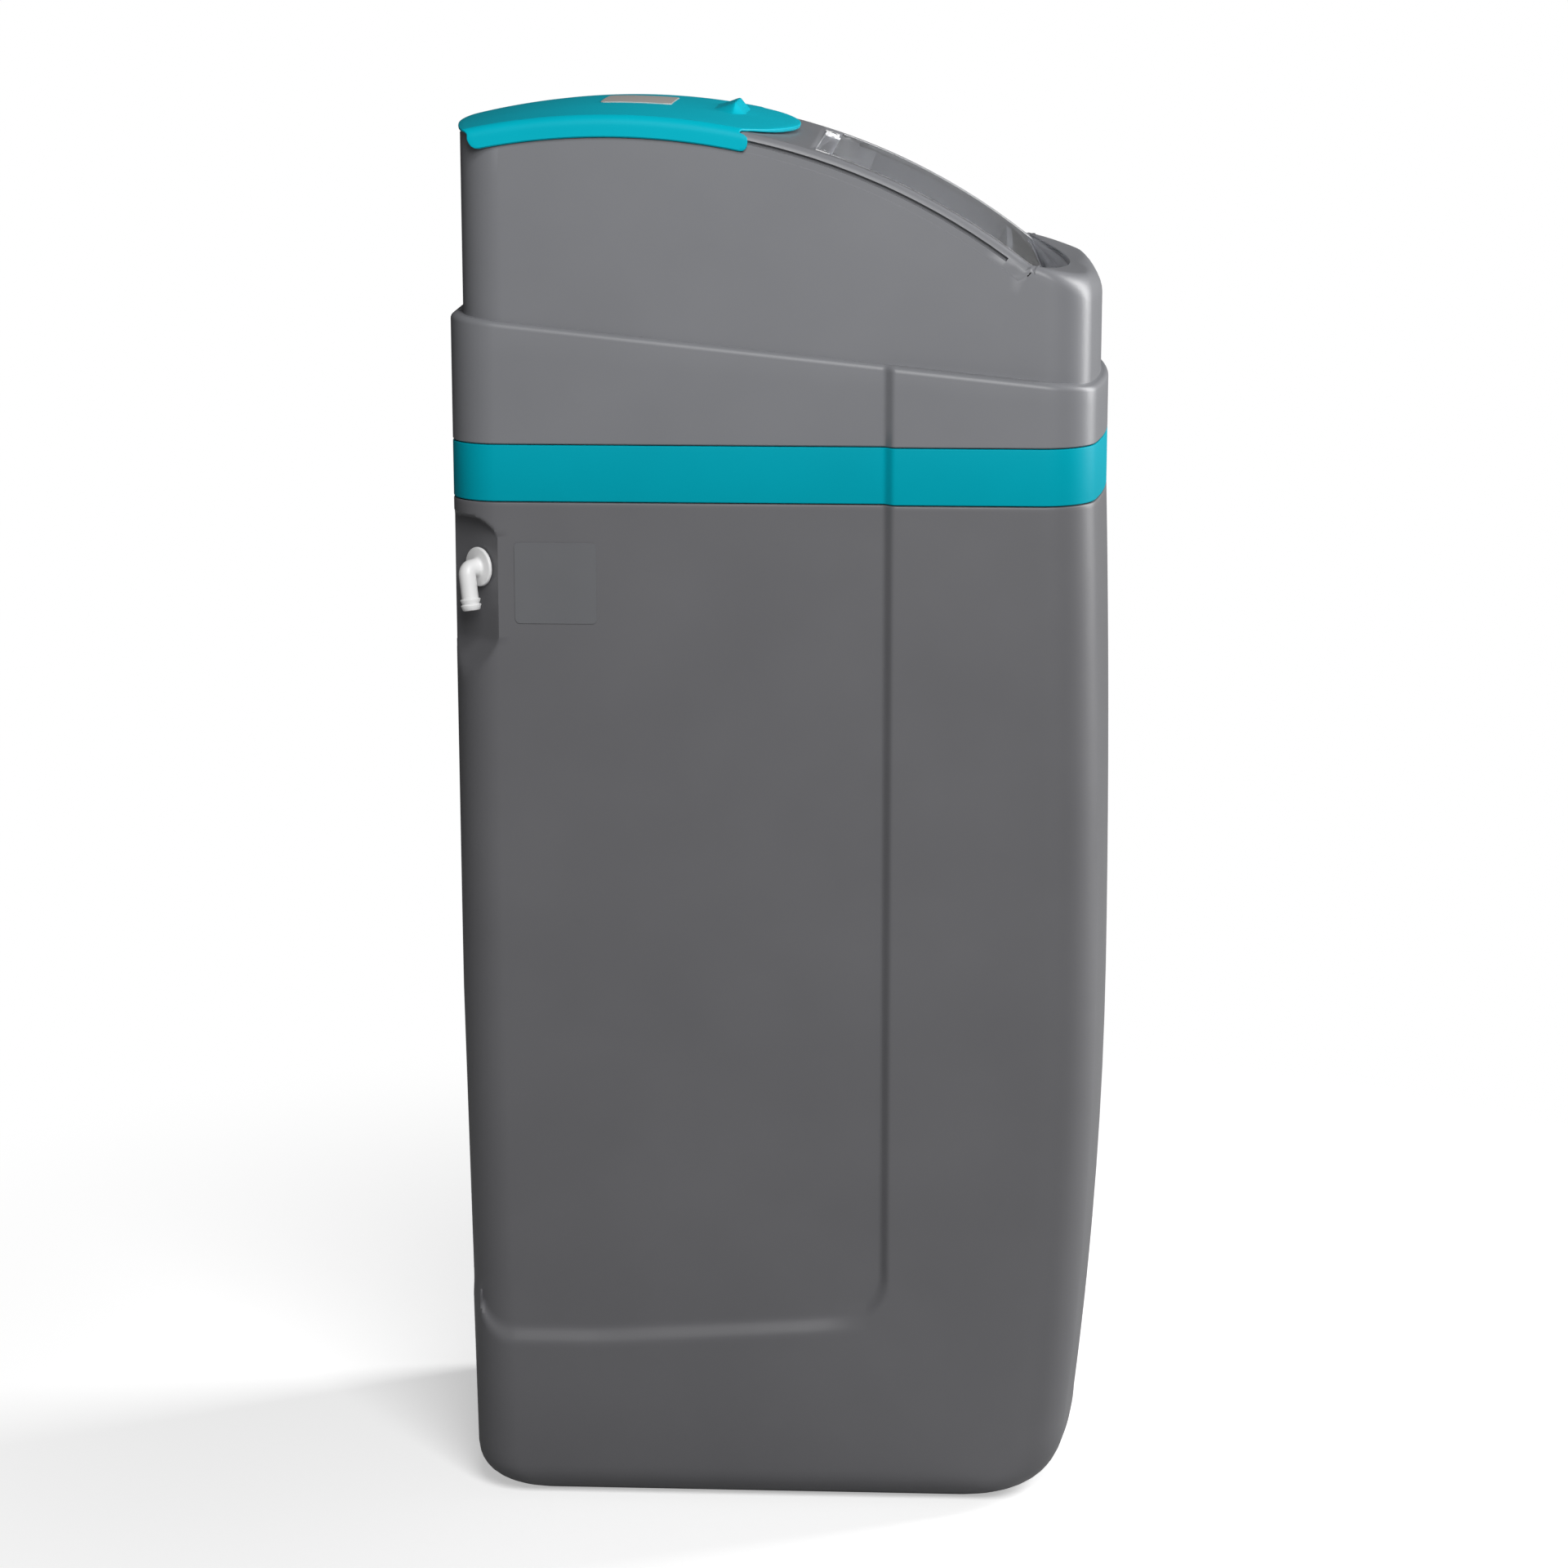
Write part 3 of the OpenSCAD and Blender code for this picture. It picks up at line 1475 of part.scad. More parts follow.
module brine_valve() {
    color(white) difference() {
        union() {
            translate([well_cx, line_y, valve_z]) cylinder(r = valve_r, h = valve_h);
            translate([well_cx - arm_w / 2, line_y, valve_z + arm_up])
                cube([arm_w, rod_y - line_y + arm_w / 2, arm_t]);
        }
        translate([well_cx, line_y, valve_z]) {
            translate([0, 0, valve_h - line_seat]) cylinder(r = line_r + fit, h = line_seat + bite);
            translate([0, 0, -bite]) cylinder(r = line_r - line_wall, h = valve_h);
            translate([0, 0, -bite]) cylinder(r = pickup_r + fit, h = pickup_seat + bite);
        }
        translate([well_cx, rod_y, valve_z]) cylinder(r = float_rod_r + fit, h = valve_h);
    }
}

module pickup_tube() {
    low = wall + check_h - check_socket;
    color(white) translate([well_cx, line_y, low]) difference() {
        cylinder(r = pickup_r, h = valve_z + pickup_seat - low);
        translate([0, 0, -bite]) cylinder(r = pickup_r - pickup_wall, h = big);
    }
}

module air_check() {
    color(white) translate([well_cx, line_y, wall + seat]) difference() {
        cylinder(r = check_r, h = check_h);
        translate([0, 0, check_wall]) {
            cylinder(r = check_r - check_wall, h = check_h - check_socket - 2 * check_wall);
            cylinder(r = pickup_r - pickup_wall, h = check_h);
        }
        translate([0, 0, check_h - check_socket - seat]) cylinder(r = pickup_r + fit, h = check_h);
        for (a = [0:45:135]) rotate([0, 0, a])
            translate([-check_r - bite, -check_slot_w / 2, 2 * check_wall])
                cube([2 * (check_r + bite), check_slot_w, check_slot_h]);
    }
}

module float_rod() {
    upper = stop_z;
    lower = stop_z - arm_t - float_travel - seat - stop_t;
    color(steel) translate([well_cx, rod_y, 0]) {
        translate([0, 0, float_z]) cylinder(r = float_rod_r, h = stop_z + 2 * arm_up - float_z);
        for (z = [upper, lower, float_z - stop_t]) translate([0, 0, z]) cylinder(r = stop_r, h = stop_t);
    }
}

module brine_float() {
    color([0.15, 0.4, 0.7]) translate([well_cx, rod_y, float_z]) difference() {
        cylinder(r = float_r, h = float_h);
        translate([0, 0, -bite]) cylinder(r = float_rod_r + fit, h = float_h + 2 * bite);
    }
}

cabinet();
trim_band();
top_cover();
salt_lid();
lid_glides();
badge_plate();
display_window();
hinge_pins();
hinge_blocks();
control_panel();
lcd_screen();
button_1();
button_2();
button_3();
button_4();
circuit_board();
panel_screws();
side_label();
overflow_elbow();
overflow_gasket();
overflow_nut();
resin_tank();
tank_boot();
resin_bed();
riser_tube();
bottom_distributor();
top_basket();
tank_seal();
valve_body();
end_plug();
piston();
piston_rod();
piston_spacers();
piston_seals();
drive_bracket();
bracket_screws();
drive_gear();
motor_pinion();
drive_motor();
injector();
injector_cap();
meter_cage();
meter_turbine();
port_elbows();
union_nuts();
water_pipes();
pipe_sockets();
drain_line();
drain_socket();
power_inlet();
brine_line();
brine_well();
well_cap();
brine_valve();
pickup_tube();
air_check();
float_rod();
brine_float();
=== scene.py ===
import bpy
import bmesh
import json
import math
from mathutils import Matrix, Vector


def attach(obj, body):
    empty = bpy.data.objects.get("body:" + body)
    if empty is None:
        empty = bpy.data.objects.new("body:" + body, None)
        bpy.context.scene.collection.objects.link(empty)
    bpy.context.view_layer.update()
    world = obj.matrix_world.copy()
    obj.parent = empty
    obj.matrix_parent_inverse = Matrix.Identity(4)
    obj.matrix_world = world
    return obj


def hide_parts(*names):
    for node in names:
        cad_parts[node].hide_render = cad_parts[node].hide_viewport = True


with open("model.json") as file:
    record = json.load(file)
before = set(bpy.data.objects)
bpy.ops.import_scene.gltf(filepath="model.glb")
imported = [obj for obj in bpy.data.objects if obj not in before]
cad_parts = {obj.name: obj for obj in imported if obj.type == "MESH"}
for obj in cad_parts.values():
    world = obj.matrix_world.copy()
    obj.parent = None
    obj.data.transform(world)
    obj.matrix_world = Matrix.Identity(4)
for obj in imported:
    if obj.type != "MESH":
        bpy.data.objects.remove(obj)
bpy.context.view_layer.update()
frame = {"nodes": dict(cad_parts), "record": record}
nodes = frame["nodes"]
mm = 0.001
weld = {"piece": 0.00001, "node": 0.000002}
print("frame loaded:", len(nodes), "nodes")


# finishes

def tone(r, g, b):
    # screen colour to the shader's linear colour
    shares = (c / 255 for c in (r, g, b))
    linear = (((s + 0.055) / 1.055) ** 2.4 if s > 10 / 255 else s / 12.92 for s in shares)
    return (*linear, 1)


def startFinish(name):
    finish = bpy.data.materials.new(name)
    finish.use_nodes = True
    tree = finish.node_tree
    return finish, tree, tree.nodes["Principled BSDF"]


def addNode(tree, kind, **values):
    node = tree.nodes.new(kind)
    for key, value in values.items():
        if hasattr(node, key):
            setattr(node, key, value)
        else:
            node.inputs[key.replace("_", " ")].default_value = value
    return node


def addTexture(tree, kind, **values):
    # a node that reads places in the object's own space
    place = addNode(tree, "ShaderNodeTexCoord")
    texture = addNode(tree, kind, **values)
    tree.links.new(place.outputs["Object"], texture.inputs["Vector"])
    return texture


def addPaint(tree, shader, source, first, second, ends=(0, 1)):
    paint = addNode(tree, "ShaderNodeValToRGB")
    for point, position, colour in zip(paint.color_ramp.elements, ends, (first, second)):
        point.position, point.color = position, colour
    tree.links.new(source, paint.inputs["Fac"])
    tree.links.new(paint.outputs["Color"], shader.inputs["Base Color"])


def addRough(tree, shader, source, low, high):
    rough = addNode(tree, "ShaderNodeMapRange", To_Min=low, To_Max=high)
    tree.links.new(source, rough.inputs["Value"])
    tree.links.new(rough.outputs["Result"], shader.inputs["Roughness"])


def addBump(tree, shader, source, distance, strength):
    bump = addNode(tree, "ShaderNodeBump", Strength=strength, Distance=distance)
    tree.links.new(source, bump.inputs["Height"])
    tree.links.new(bump.outputs["Normal"], shader.inputs["Normal"])


plastic = {
    "cloud": 7, "ends": (0.3, 0.7), "spread": 0.05, "bump": (0.00004, 0.5),
    "coat": 0, "coatRough": 0.15, "gloss": 0.5,
}


def mouldedPlastic(name, own):
    # clouded colour, with a fine grain in its gloss
    look = {**plastic, **own}
    finish, tree, shader = startFinish(name)
    grain = addTexture(tree, "ShaderNodeTexNoise", Scale=look["grain"], Detail=2.0, Roughness=0.6)
    cloud = addTexture(tree, "ShaderNodeTexNoise", Scale=look["cloud"], Detail=3.0, Roughness=0.55)
    rough, spread = look["rough"], look["spread"]
    addPaint(tree, shader, cloud.outputs["Fac"], look["shade"], look["colour"], look["ends"])
    addRough(tree, shader, grain.outputs["Fac"], rough - spread, rough + spread)
    addBump(tree, shader, grain.outputs["Fac"], *look["bump"])
    shader.inputs["Coat Weight"].default_value = look["coat"]
    shader.inputs["Coat Roughness"].default_value = look["coatRough"]
    shader.inputs["Specular IOR Level"].default_value = look["gloss"]
    return finish


finishLooks = {
    "cabinet_grey": {
        "colour": tone(112, 112, 115), "shade": tone(107, 107, 110), "rough": 0.46, "grain": 1100},
    "cover_grey": {
        "colour": tone(132, 133, 137), "shade": tone(127, 128, 132), "rough": 0.42, "grain": 1100},
    "band_teal": {
        "colour": tone(0, 168, 187), "shade": tone(0, 162, 181), "rough": 0.5, "grain": 1200,
        "gloss": 0.05},
    "lid_teal": {
        "colour": tone(0, 186, 206), "shade": tone(0, 180, 200), "rough": 0.45, "grain": 1200,
        "gloss": 0.08},
    "badge": {
        "colour": tone(203, 198, 193), "shade": tone(194, 189, 184), "rough": 0.36, "grain": 1500},
    "label": {
        "colour": tone(118, 119, 122), "shade": tone(111, 112, 115), "rough": 0.3, "grain": 1600},
    "display": {
        "colour": tone(70, 84, 78), "shade": tone(58, 71, 66), "rough": 0.16, "grain": 700,
        "coat": 0.6},
    "panel_dark": {
        "colour": tone(138, 140, 146), "shade": tone(132, 134, 140), "rough": 0.45, "grain": 1000},
    "white_plastic": {
        "colour": tone(250, 250, 250), "shade": tone(245, 245, 245), "rough": 0.36, "grain": 1000},
    "black_plastic": {
        "colour": tone(40, 40, 43), "shade": tone(32, 32, 35), "rough": 0.42, "grain": 900},
    "grey_plastic": {
        "colour": tone(140, 140, 140), "shade": tone(128, 128, 128), "rough": 0.42, "grain": 900},
    "seal_rubber": {
        "colour": tone(28, 28, 28), "shade": tone(20, 20, 20), "rough": 0.7, "grain": 1500,
        "bump": (0.0001, 0.5)},
    "float_blue": {
        "colour": tone(45, 105, 165), "shade": tone(38, 95, 152), "rough": 0.4, "grain": 900},
}
finishes = {name: mouldedPlastic(name, look) for name, look in finishLooks.items()}


clearLook = {"colour": (0.97, 0.98, 1, 1), "ior": 1.49, "ripple": 22, "rough": (0.0, 0.03)}


def clearPane():
    # clear to light and shadow, with a faint ripple in its gloss
    finish, tree, shader = startFinish("clear_pane")
    ripple = addTexture(tree, "ShaderNodeTexNoise", Scale=clearLook["ripple"], Detail=1.0)
    addRough(tree, shader, ripple.outputs["Fac"], *clearLook["rough"])
    shader.inputs["Base Color"].default_value = clearLook["colour"]
    shader.inputs["Transmission Weight"].default_value = 1
    shader.inputs["IOR"].default_value = clearLook["ior"]
    path = addNode(tree, "ShaderNodeLightPath")
    through = addNode(tree, "ShaderNodeBsdfTransparent", Color=clearLook["colour"])
    pick = addNode(tree, "ShaderNodeMixShader")
    tree.links.new(path.outputs["Is Shadow Ray"], pick.inputs[0])
    tree.links.new(shader.outputs[0], pick.inputs[1])
    tree.links.new(through.outputs[0], pick.inputs[2])
    tree.links.new(pick.outputs[0], tree.nodes["Material Output"].inputs["Surface"])
    return finish


def dress(tree, shader, source, look):
    # colours, gloss and relief that follow one texture
    addPaint(tree, shader, source, *look["colours"], look.get("ends", (0, 1)))
    addRough(tree, shader, source, *look["rough"])
    if "bump" in look:
        addBump(tree, shader, source, *look["bump"])


steelLook = {
    "colours": (tone(160, 162, 165), tone(196, 198, 200)), "lines": (60, 60, 2500),
    "rough": (0.22, 0.4), "bump": (0.00003, 0.4),
}


def brushedSteel():
    finish, tree, shader = startFinish("steel")
    stretch = addTexture(tree, "ShaderNodeMapping", Scale=steelLook["lines"])
    lines = addNode(tree, "ShaderNodeTexNoise", Scale=1.0, Detail=3.0)
    tree.links.new(stretch.outputs["Vector"], lines.inputs["Vector"])
    dress(tree, shader, lines.outputs["Fac"], steelLook)
    shader.inputs["Metallic"].default_value = 1
    return finish


wrapLook = {
    "colours": (tone(36, 58, 84), tone(52, 80, 112)), "pitch": 190,
    "rough": (0.3, 0.45), "bump": (0.0002, 0.5),
}


def woundTank():
    finish, tree, shader = startFinish("tank_wrap")
    winding = addTexture(tree, "ShaderNodeTexWave", wave_type="BANDS", bands_direction="DIAGONAL",
                         Scale=wrapLook["pitch"], Distortion=1.5, Detail=2.0)
    dress(tree, shader, winding.outputs["Fac"], wrapLook)
    return finish


beadLook = {
    "colours": (tone(190, 140, 62), tone(112, 74, 24)), "size": 900,
    "rough": (0.2, 0.5), "bump": (0.0005, 0.6),
}


def resinBeads():
    finish, tree, shader = startFinish("resin")
    beads = addTexture(tree, "ShaderNodeTexVoronoi", Scale=beadLook["size"])
    dress(tree, shader, beads.outputs["Distance"], beadLook)
    return finish


boardLook = {
    "colours": (tone(60, 128, 72), tone(18, 84, 48)), "ends": (0, 0.12), "grid": 150,
    "rough": (0.25, 0.4),
}


def solderMask():
    # green with paler tracks
    finish, tree, shader = startFinish("board_green")
    tracks = addTexture(tree, "ShaderNodeTexVoronoi", distance="MANHATTAN",
                        feature="DISTANCE_TO_EDGE", Scale=boardLook["grid"])
    dress(tree, shader, tracks.outputs["Distance"], boardLook)
    return finish


finishes.update({"clear_pane": clearPane(), "steel": brushedSteel(), "tank_wrap": woundTank(),
                 "resin": resinBeads(), "board_green": solderMask()})

for part in frame["record"]["subparts"]:
    node = nodes[part["node"]]
    node.data.materials.clear()
    node.data.materials.append(finishes[part["material_slot"]])
print("finishes:", len(finishes))


# shape helpers, in millimetres and, on the track, degrees

def smooth(t):
    t = min(max(t, 0), 1)
    return t * t * (3 - 2 * t)


def ease(value, span):
    # 0 before a span and 1 after it, the span given as its start and length
    return smooth((value - span[0]) / span[1])


def mix(a, b, t):
    return a + (b - a) * t


def steps(start, *stops):
    # values from each stop to the next, with the number of steps before each
    values = [start]
    for count, end in zip(stops[::2], stops[1::2]):
        begin = values[-1]
        values += [mix(begin, end, (i + 1) / count) for i in range(count)] if count > 1 else [end]
    return values


def addPiece(name, bm, finish, body, replaced=(), crease=38):
    bmesh.ops.remove_doubles(bm, verts=bm.verts, dist=weld["piece"])
    mesh = bpy.data.meshes.new(name)
    bm.to_mesh(mesh)
    bm.free()
    mesh.shade_smooth()
    mesh.set_sharp_from_angle(angle=math.radians(crease))
    mesh.materials.append(finishes[finish])
    piece = bpy.data.objects.new(name, mesh)
    bpy.context.scene.collection.objects.link(piece)
    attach(piece, body)
    if replaced:
        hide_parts(*replaced)
    return piece


def shapeGrid(columns):
    # a grid whose points take their places from the columns
    bm = bmesh.new()
    last, top = len(columns) - 1, len(columns[0]) - 1
    bmesh.ops.create_grid(bm, x_segments=last, y_segments=top, size=0.5)
    for vert in bm.verts:
        col, row = round((vert.co.x + 0.5) * last), round((vert.co.y + 0.5) * top)
        vert.co = Vector(columns[col][row]) * mm
    return bm


def nodeCopy(node):
    bm = bmesh.new()
    bm.from_mesh(nodes[node].data)
    bmesh.ops.remove_doubles(bm, verts=bm.verts, dist=weld["node"])
    return bm


# cabinet

cabinet = {
    "back": -261, "front": 261, "half": 161, "cornerBack": 38, "cornerFront": 45, "bow": 650,
    "top": 827, "wall": 4, "belly": 430, "leanTop": 7, "leanFoot": 27, "leanBack": 6, "leanSide": 6,
    "footBack": 38, "footFront": 60, "footSide": 28,
    "recess": 6.5, "recessR": 36, "creaseX": 77, "creaseW": 9,
    "ledgeZ": 159, "ledgeRise": 0.068, "ledgeRun": (-150, 60), "ledgeW": 16,
    "tailX": -222, "tailRun": 27, "tailRise": 30, "neckIn": 3.4, "neckTop": 881.6, "edge": 1.2,
    "rows": (0, 2, 2, 3, 10, 4, 28, 4, 62, 4, 130, 18, 176, 6, 210, 10, 640, 12, 700, 8, 724,
             5, 785, 20, 820, 2),
}
pocket = {
    "x": -241.75, "y": -135.25, "top": 817, "low": 716, "slope": 14 / 36,
    "archW": 27, "archH": 24, "archEdge": 29, "lip": 6,
}
upper = {
    "back": -255, "front": 248, "half": 148.5, "cornerBack": 38, "cornerFront": 39, "bow": 650,
    "backBow": 4,
}
sideRef = {"rear": -223, "rearHold": -150, "frontHold": 92, "front": 205}
diagonal = math.sqrt(0.5)
tiny = 0.001


def frontCorner(plan):
    # the front corner's middle and the angle where it meets the bow
    bow, rf = plan["bow"], plan["cornerFront"]
    reach = plan["half"] - rf
    span = math.sqrt((bow - rf) ** 2 - reach ** 2)
    return plan["front"] - bow + span, math.atan2(reach, span)


def sideX(value, rearX, frontX):
    # a side column's x: fixed along the middle, stretched to reach both corners
    rearHold, frontHold = sideRef["rearHold"], sideRef["frontHold"]
    if value < rearHold:
        return mix(rearHold, rearX, (rearHold - value) / (rearHold - sideRef["rear"]))
    if value > frontHold:
        return mix(frontHold, frontX, (value - frontHold) / (sideRef["front"] - frontHold))
    return value


def planPoint(plan, zone, value):
    # a point on one half of an outline, and the way out of it
    back, half, bow = plan["back"], plan["half"], plan["bow"]
    rb, backBow = plan["cornerBack"], plan.get("backBow", 0)
    cx, turn = frontCorner(plan)
    if zone == "back":
        return back + backBow * value ** 2, value * (half - rb), -1, 0
    if zone == "side":
        return sideX(value, back + rb, cx), half, 0, 1
    if zone == "bow":
        a, ox, oy, r = turn * (1 - value), plan["front"] - bow, 0, bow
    elif zone == "cornerBack":
        a, ox, r = math.pi * (1 - value / 2), back + rb + backBow * (1 - value) ** 2, rb
        oy = half - r
    else:
        a, ox, r = mix(math.pi / 2, turn, value), cx, plan["cornerFront"]
        oy = half - r
    return ox + r * math.cos(a), oy + r * math.sin(a), math.cos(a), math.sin(a)


def footInset(r, z):
    return r - math.sqrt(r * r - (r - z) ** 2) if z < r else 0


def casePlan(z):
    c = cabinet
    bellyShare = max(c["belly"] - max(z, c["footBack"]), 0) / (c["belly"] - c["footBack"])
    if z > c["belly"]:
        lean = c["leanTop"] * ((z - c["belly"]) / (c["top"] - c["belly"])) ** 2
    else:
        lean = c["leanFoot"] * ((c["belly"] - max(z, c["footFront"])) / c["belly"]) ** 2
    sideLean = c["leanSide"] * (1 - max(z, c["footSide"]) / c["top"])
    return {
        "back": c["back"] + c["leanBack"] * bellyShare + footInset(c["footBack"], z),
        "front": c["front"] - lean - footInset(c["footFront"], z),
        "half": c["half"] - sideLean - footInset(c["footSide"], z),
        "cornerBack": c["cornerBack"], "cornerFront": c["cornerFront"], "bow": c["bow"],
    }


def sunkShare(x, z):
    # 1 on a sunk side panel and 0 off it, with a soft crease, ledge and corner
    c = cabinet
    tail = min(max((c["tailX"] - x) / c["tailRun"], 0), 1)
    ledge = c["ledgeZ"] + c["ledgeRise"] * min(max(x, c["ledgeRun"][0]), c["ledgeRun"][1])
    ledge += c["tailRise"] * (1 - math.sqrt(1 - tail * tail))
    across, down = x - c["creaseX"] + c["recessR"], ledge - z + c["recessR"]
    a, d = max(across, 0), max(down, 0)
    reach = min(max(across, down), 0) + math.hypot(a, d) - c["recessR"]
    return 1 - smooth(reach / mix(c["creaseW"], c["ledgeW"], d / (a + d + tiny)))


def pocketed(x, y, z):
    # pushes a point of the back corner onto the pocket's slanting face
    dx, dy = x - pocket["x"], y - pocket["y"]
    out, across = -(dx + dy) * diagonal, (dx - dy) * diagonal
    t = min(max((across - pocket["archEdge"] + pocket["archW"]) / pocket["archW"], 0), 1)
    top = pocket["top"] - pocket["archH"] * (1 - math.sqrt(1 - t * t))
    floor = max(pocket["low"] - z, 0) * pocket["slope"]
    push = max(out - floor, 0) * smooth((top - z) / pocket["lip"]) * diagonal
    return x + push, y + push


def casePoint(zone, value, side, z, inset):
    wide = casePlan(min(z, cabinet["top"]))
    x, y = planPoint(wide, zone, value)[:2]
    sunk = dict(wide, half=wide["half"] - cabinet["recess"])
    sx, sy, nx, ny = planPoint(sunk, zone, value)
    k = sunkShare(x, z)
    x, y = mix(x, sx, k) - nx * inset, side * (mix(y, sy, k) - ny * inset)
    return (*pocketed(x, y, z), z) if side < 0 else (x, y, z)


# the track that the lid slides on, as an angle and a radius about its axis

track = {
    "x": -136.5, "z": 590, "r": 532, "lidR": 536, "channelR": 517, "channelY": 147.5,
    "foot": ((0.5, 0.4), (1, 0)), "shoulder": 7, "shoulderFrom": 18,
    "slot": (523.5, 526.5), "slotEase": (0.2, 0.3), "slotY": 143.5, "slotEnd": 35.8,
}
lid = {
    "back": -11.9, "tip": 15.5, "bow": 320, "travel": 26, "t": 3.5, "half": 151.5,
    "skirtR": 517.5, "gap": 0.5,
}


def trackHeight(x, r):
    return track["z"] + math.sqrt(r * r - (x - track["x"]) ** 2)


def onArc(angle, along, r):
    # a point at an angle on the track, then along its tangent
    a = math.radians(angle)
    x = track["x"] + along * math.cos(a) + r * math.sin(a)
    return x, track["z"] - along * math.sin(a) + r * math.cos(a)


def bowAlong(y, grow=0):
    # how far the lid's bowed front edge stands along the track at y
    return math.sqrt((lid["bow"] + grow) ** 2 - y * y) - lid["bow"]


noseAngle = lid["tip"] + lid["travel"]
noseX = onArc(noseAngle, bowAlong(upper["half"], lid["gap"]), track["channelR"])[0]
slotX = onArc(track["slotEnd"], 0, track["channelR"])[0]


def sideStop(x):
    # the side column that stands at x on the upper cover
    hold = sideRef["frontHold"]
    return mix(hold, sideRef["front"], (x - hold) / (frontCorner(upper)[0] - hold))


# columns round half of the outline, close together where the slot and the nose begin

columnGap = 0.25
sideColumns = steps(
    sideRef["rear"], 8, sideRef["rearHold"], 14, 66, 4, 74, 12, 90, 3, 100,
    5, sideStop(slotX - columnGap), 1, sideStop(slotX + columnGap),
    2, sideStop(noseX - columnGap), 1, sideStop(noseX + columnGap), 4, 201)
halfRing = [("back", v) for v in steps(0, 6, 1)[:-1]]
halfRing += [("cornerBack", v) for v in steps(0, 24, 1)[:-1]]
halfRing += [("side", v) for v in sideColumns]
halfRing += [("cornerFront", v) for v in steps(0, 16, 1)[:-1]]
halfRing += [("bow", v) for v in steps(0, 14, 1)]
ring = [(*place, -1) for place in halfRing] + [(*place, 1) for place in reversed(halfRing[:-1])]


def makeCabinet():
    top, edge, neckIn = cabinet["top"], cabinet["edge"], cabinet["neckIn"]
    rows = [(z, 0) for z in steps(*cabinet["rows"], top - edge)]
    rows += [(top - edge * (1 - math.sin(a)), edge * (1 - math.cos(a)))
             for a in steps(0, 3, math.pi / 2)[1:]]
    rows += [(top, neckIn), (cabinet["neckTop"], neckIn)]
    bm = shapeGrid([[casePoint(*place, *row) for row in rows] for place in ring])
    bmesh.ops.remove_doubles(bm, verts=bm.verts, dist=weld["piece"])
    foot = [e for e in bm.edges if e.is_boundary and e.verts[0].co.z < mm]
    bmesh.ops.contextual_create(bm, geom=foot)
    piece = addPiece("cabinetShell", bm, "cabinet_grey", "housing", ["cabinet"])
    shell = piece.modifiers.new("wall", "SOLIDIFY")
    shell.thickness, shell.offset = cabinet["wall"] * mm, -1


band = {"low": 827.8, "high": 871.8, "t": 3, "edge": 1.0}


def makeBand():
    low, high, edge, t = band["low"], band["high"], band["edge"], band["t"]
    corner = [(edge * (1 - math.cos(a)), edge * (1 - math.sin(a)))
              for a in steps(math.pi / 2, 4, 0)]
    rows = [(low, t)] + [(low + up, inset) for inset, up in corner]
    rows += [(high - up, inset) for inset, up in reversed(corner)] + [(high, t), (low, t)]
    columns = []
    for place in ring:
        columns.append([(*casePoint(*place, cabinet["top"], inset)[:2], z) for z, inset in rows])
    bm = shapeGrid(columns)
    addPiece("trimBand", bm, "band_teal", "housing", ["trim_band"])


# cover

cover = {
    "low": 872.6, "edge": 0.8, "wall": 3, "ledgeZ": 944, "ledgeSlope": math.tan(math.radians(6)),
    "ledgeR": 5, "wallFoot": 0.015, "railFade": (-200, 60),
    "noseZ": 1012, "noseX": 189.5, "noseSlope": 0.23, "noseEnds": -3.4, "noseLift": 13.4,
    "noseLean": 4, "noseRound": (6, 20), "noseRoundX": (190, 50),
    "lipR": 540.5, "lipEase": ((0.4, 0.2), (0.6, 0.8)), "lipDrop": 1.2, "stepLow": 528.5,
    "plateY": 140.5, "plateLow": 515, "backFace": -254.9, "backHalf": 110.6,
}


def ledgeHeight(x):
    return cover["ledgeZ"] - x * cover["ledgeSlope"]


def railRows(x, half, slotted, fade):
    # the rail beside the track: channel, slot and round shoulder
    r0, y0, bend = track["channelR"], track["channelY"], track["shoulder"]
    (low, high), (under, over) = track["slot"], track["slotEase"]
    deep = track["slotY"] if slotted else y0
    section = [(r0, upper["half"])] + [(r0 + up, y0 + out) for up, out in track["foot"]]
    section += [(low - under, y0), (low, y0 - under * slotted), (low, deep),
                (high, deep), (high, y0 - over * slotted), (high + over, y0 - over / 2)]
    section += [(track["r"] - bend * (1 - math.sin(a)), y0 - bend * (1 - math.cos(a)))
                for a in steps(math.radians(track["shoulderFrom"]), 8, math.pi / 2)[1:]]
    # the last point repeats, to make as many rows as the nose has
    points = []
    for r, y in section + section[-1:] * 4:
        px = x + (r - r0) * (x - track["x"]) / r0 * fade
        points.append((px, min(half, y), trackHeight(px, r)))
    return points


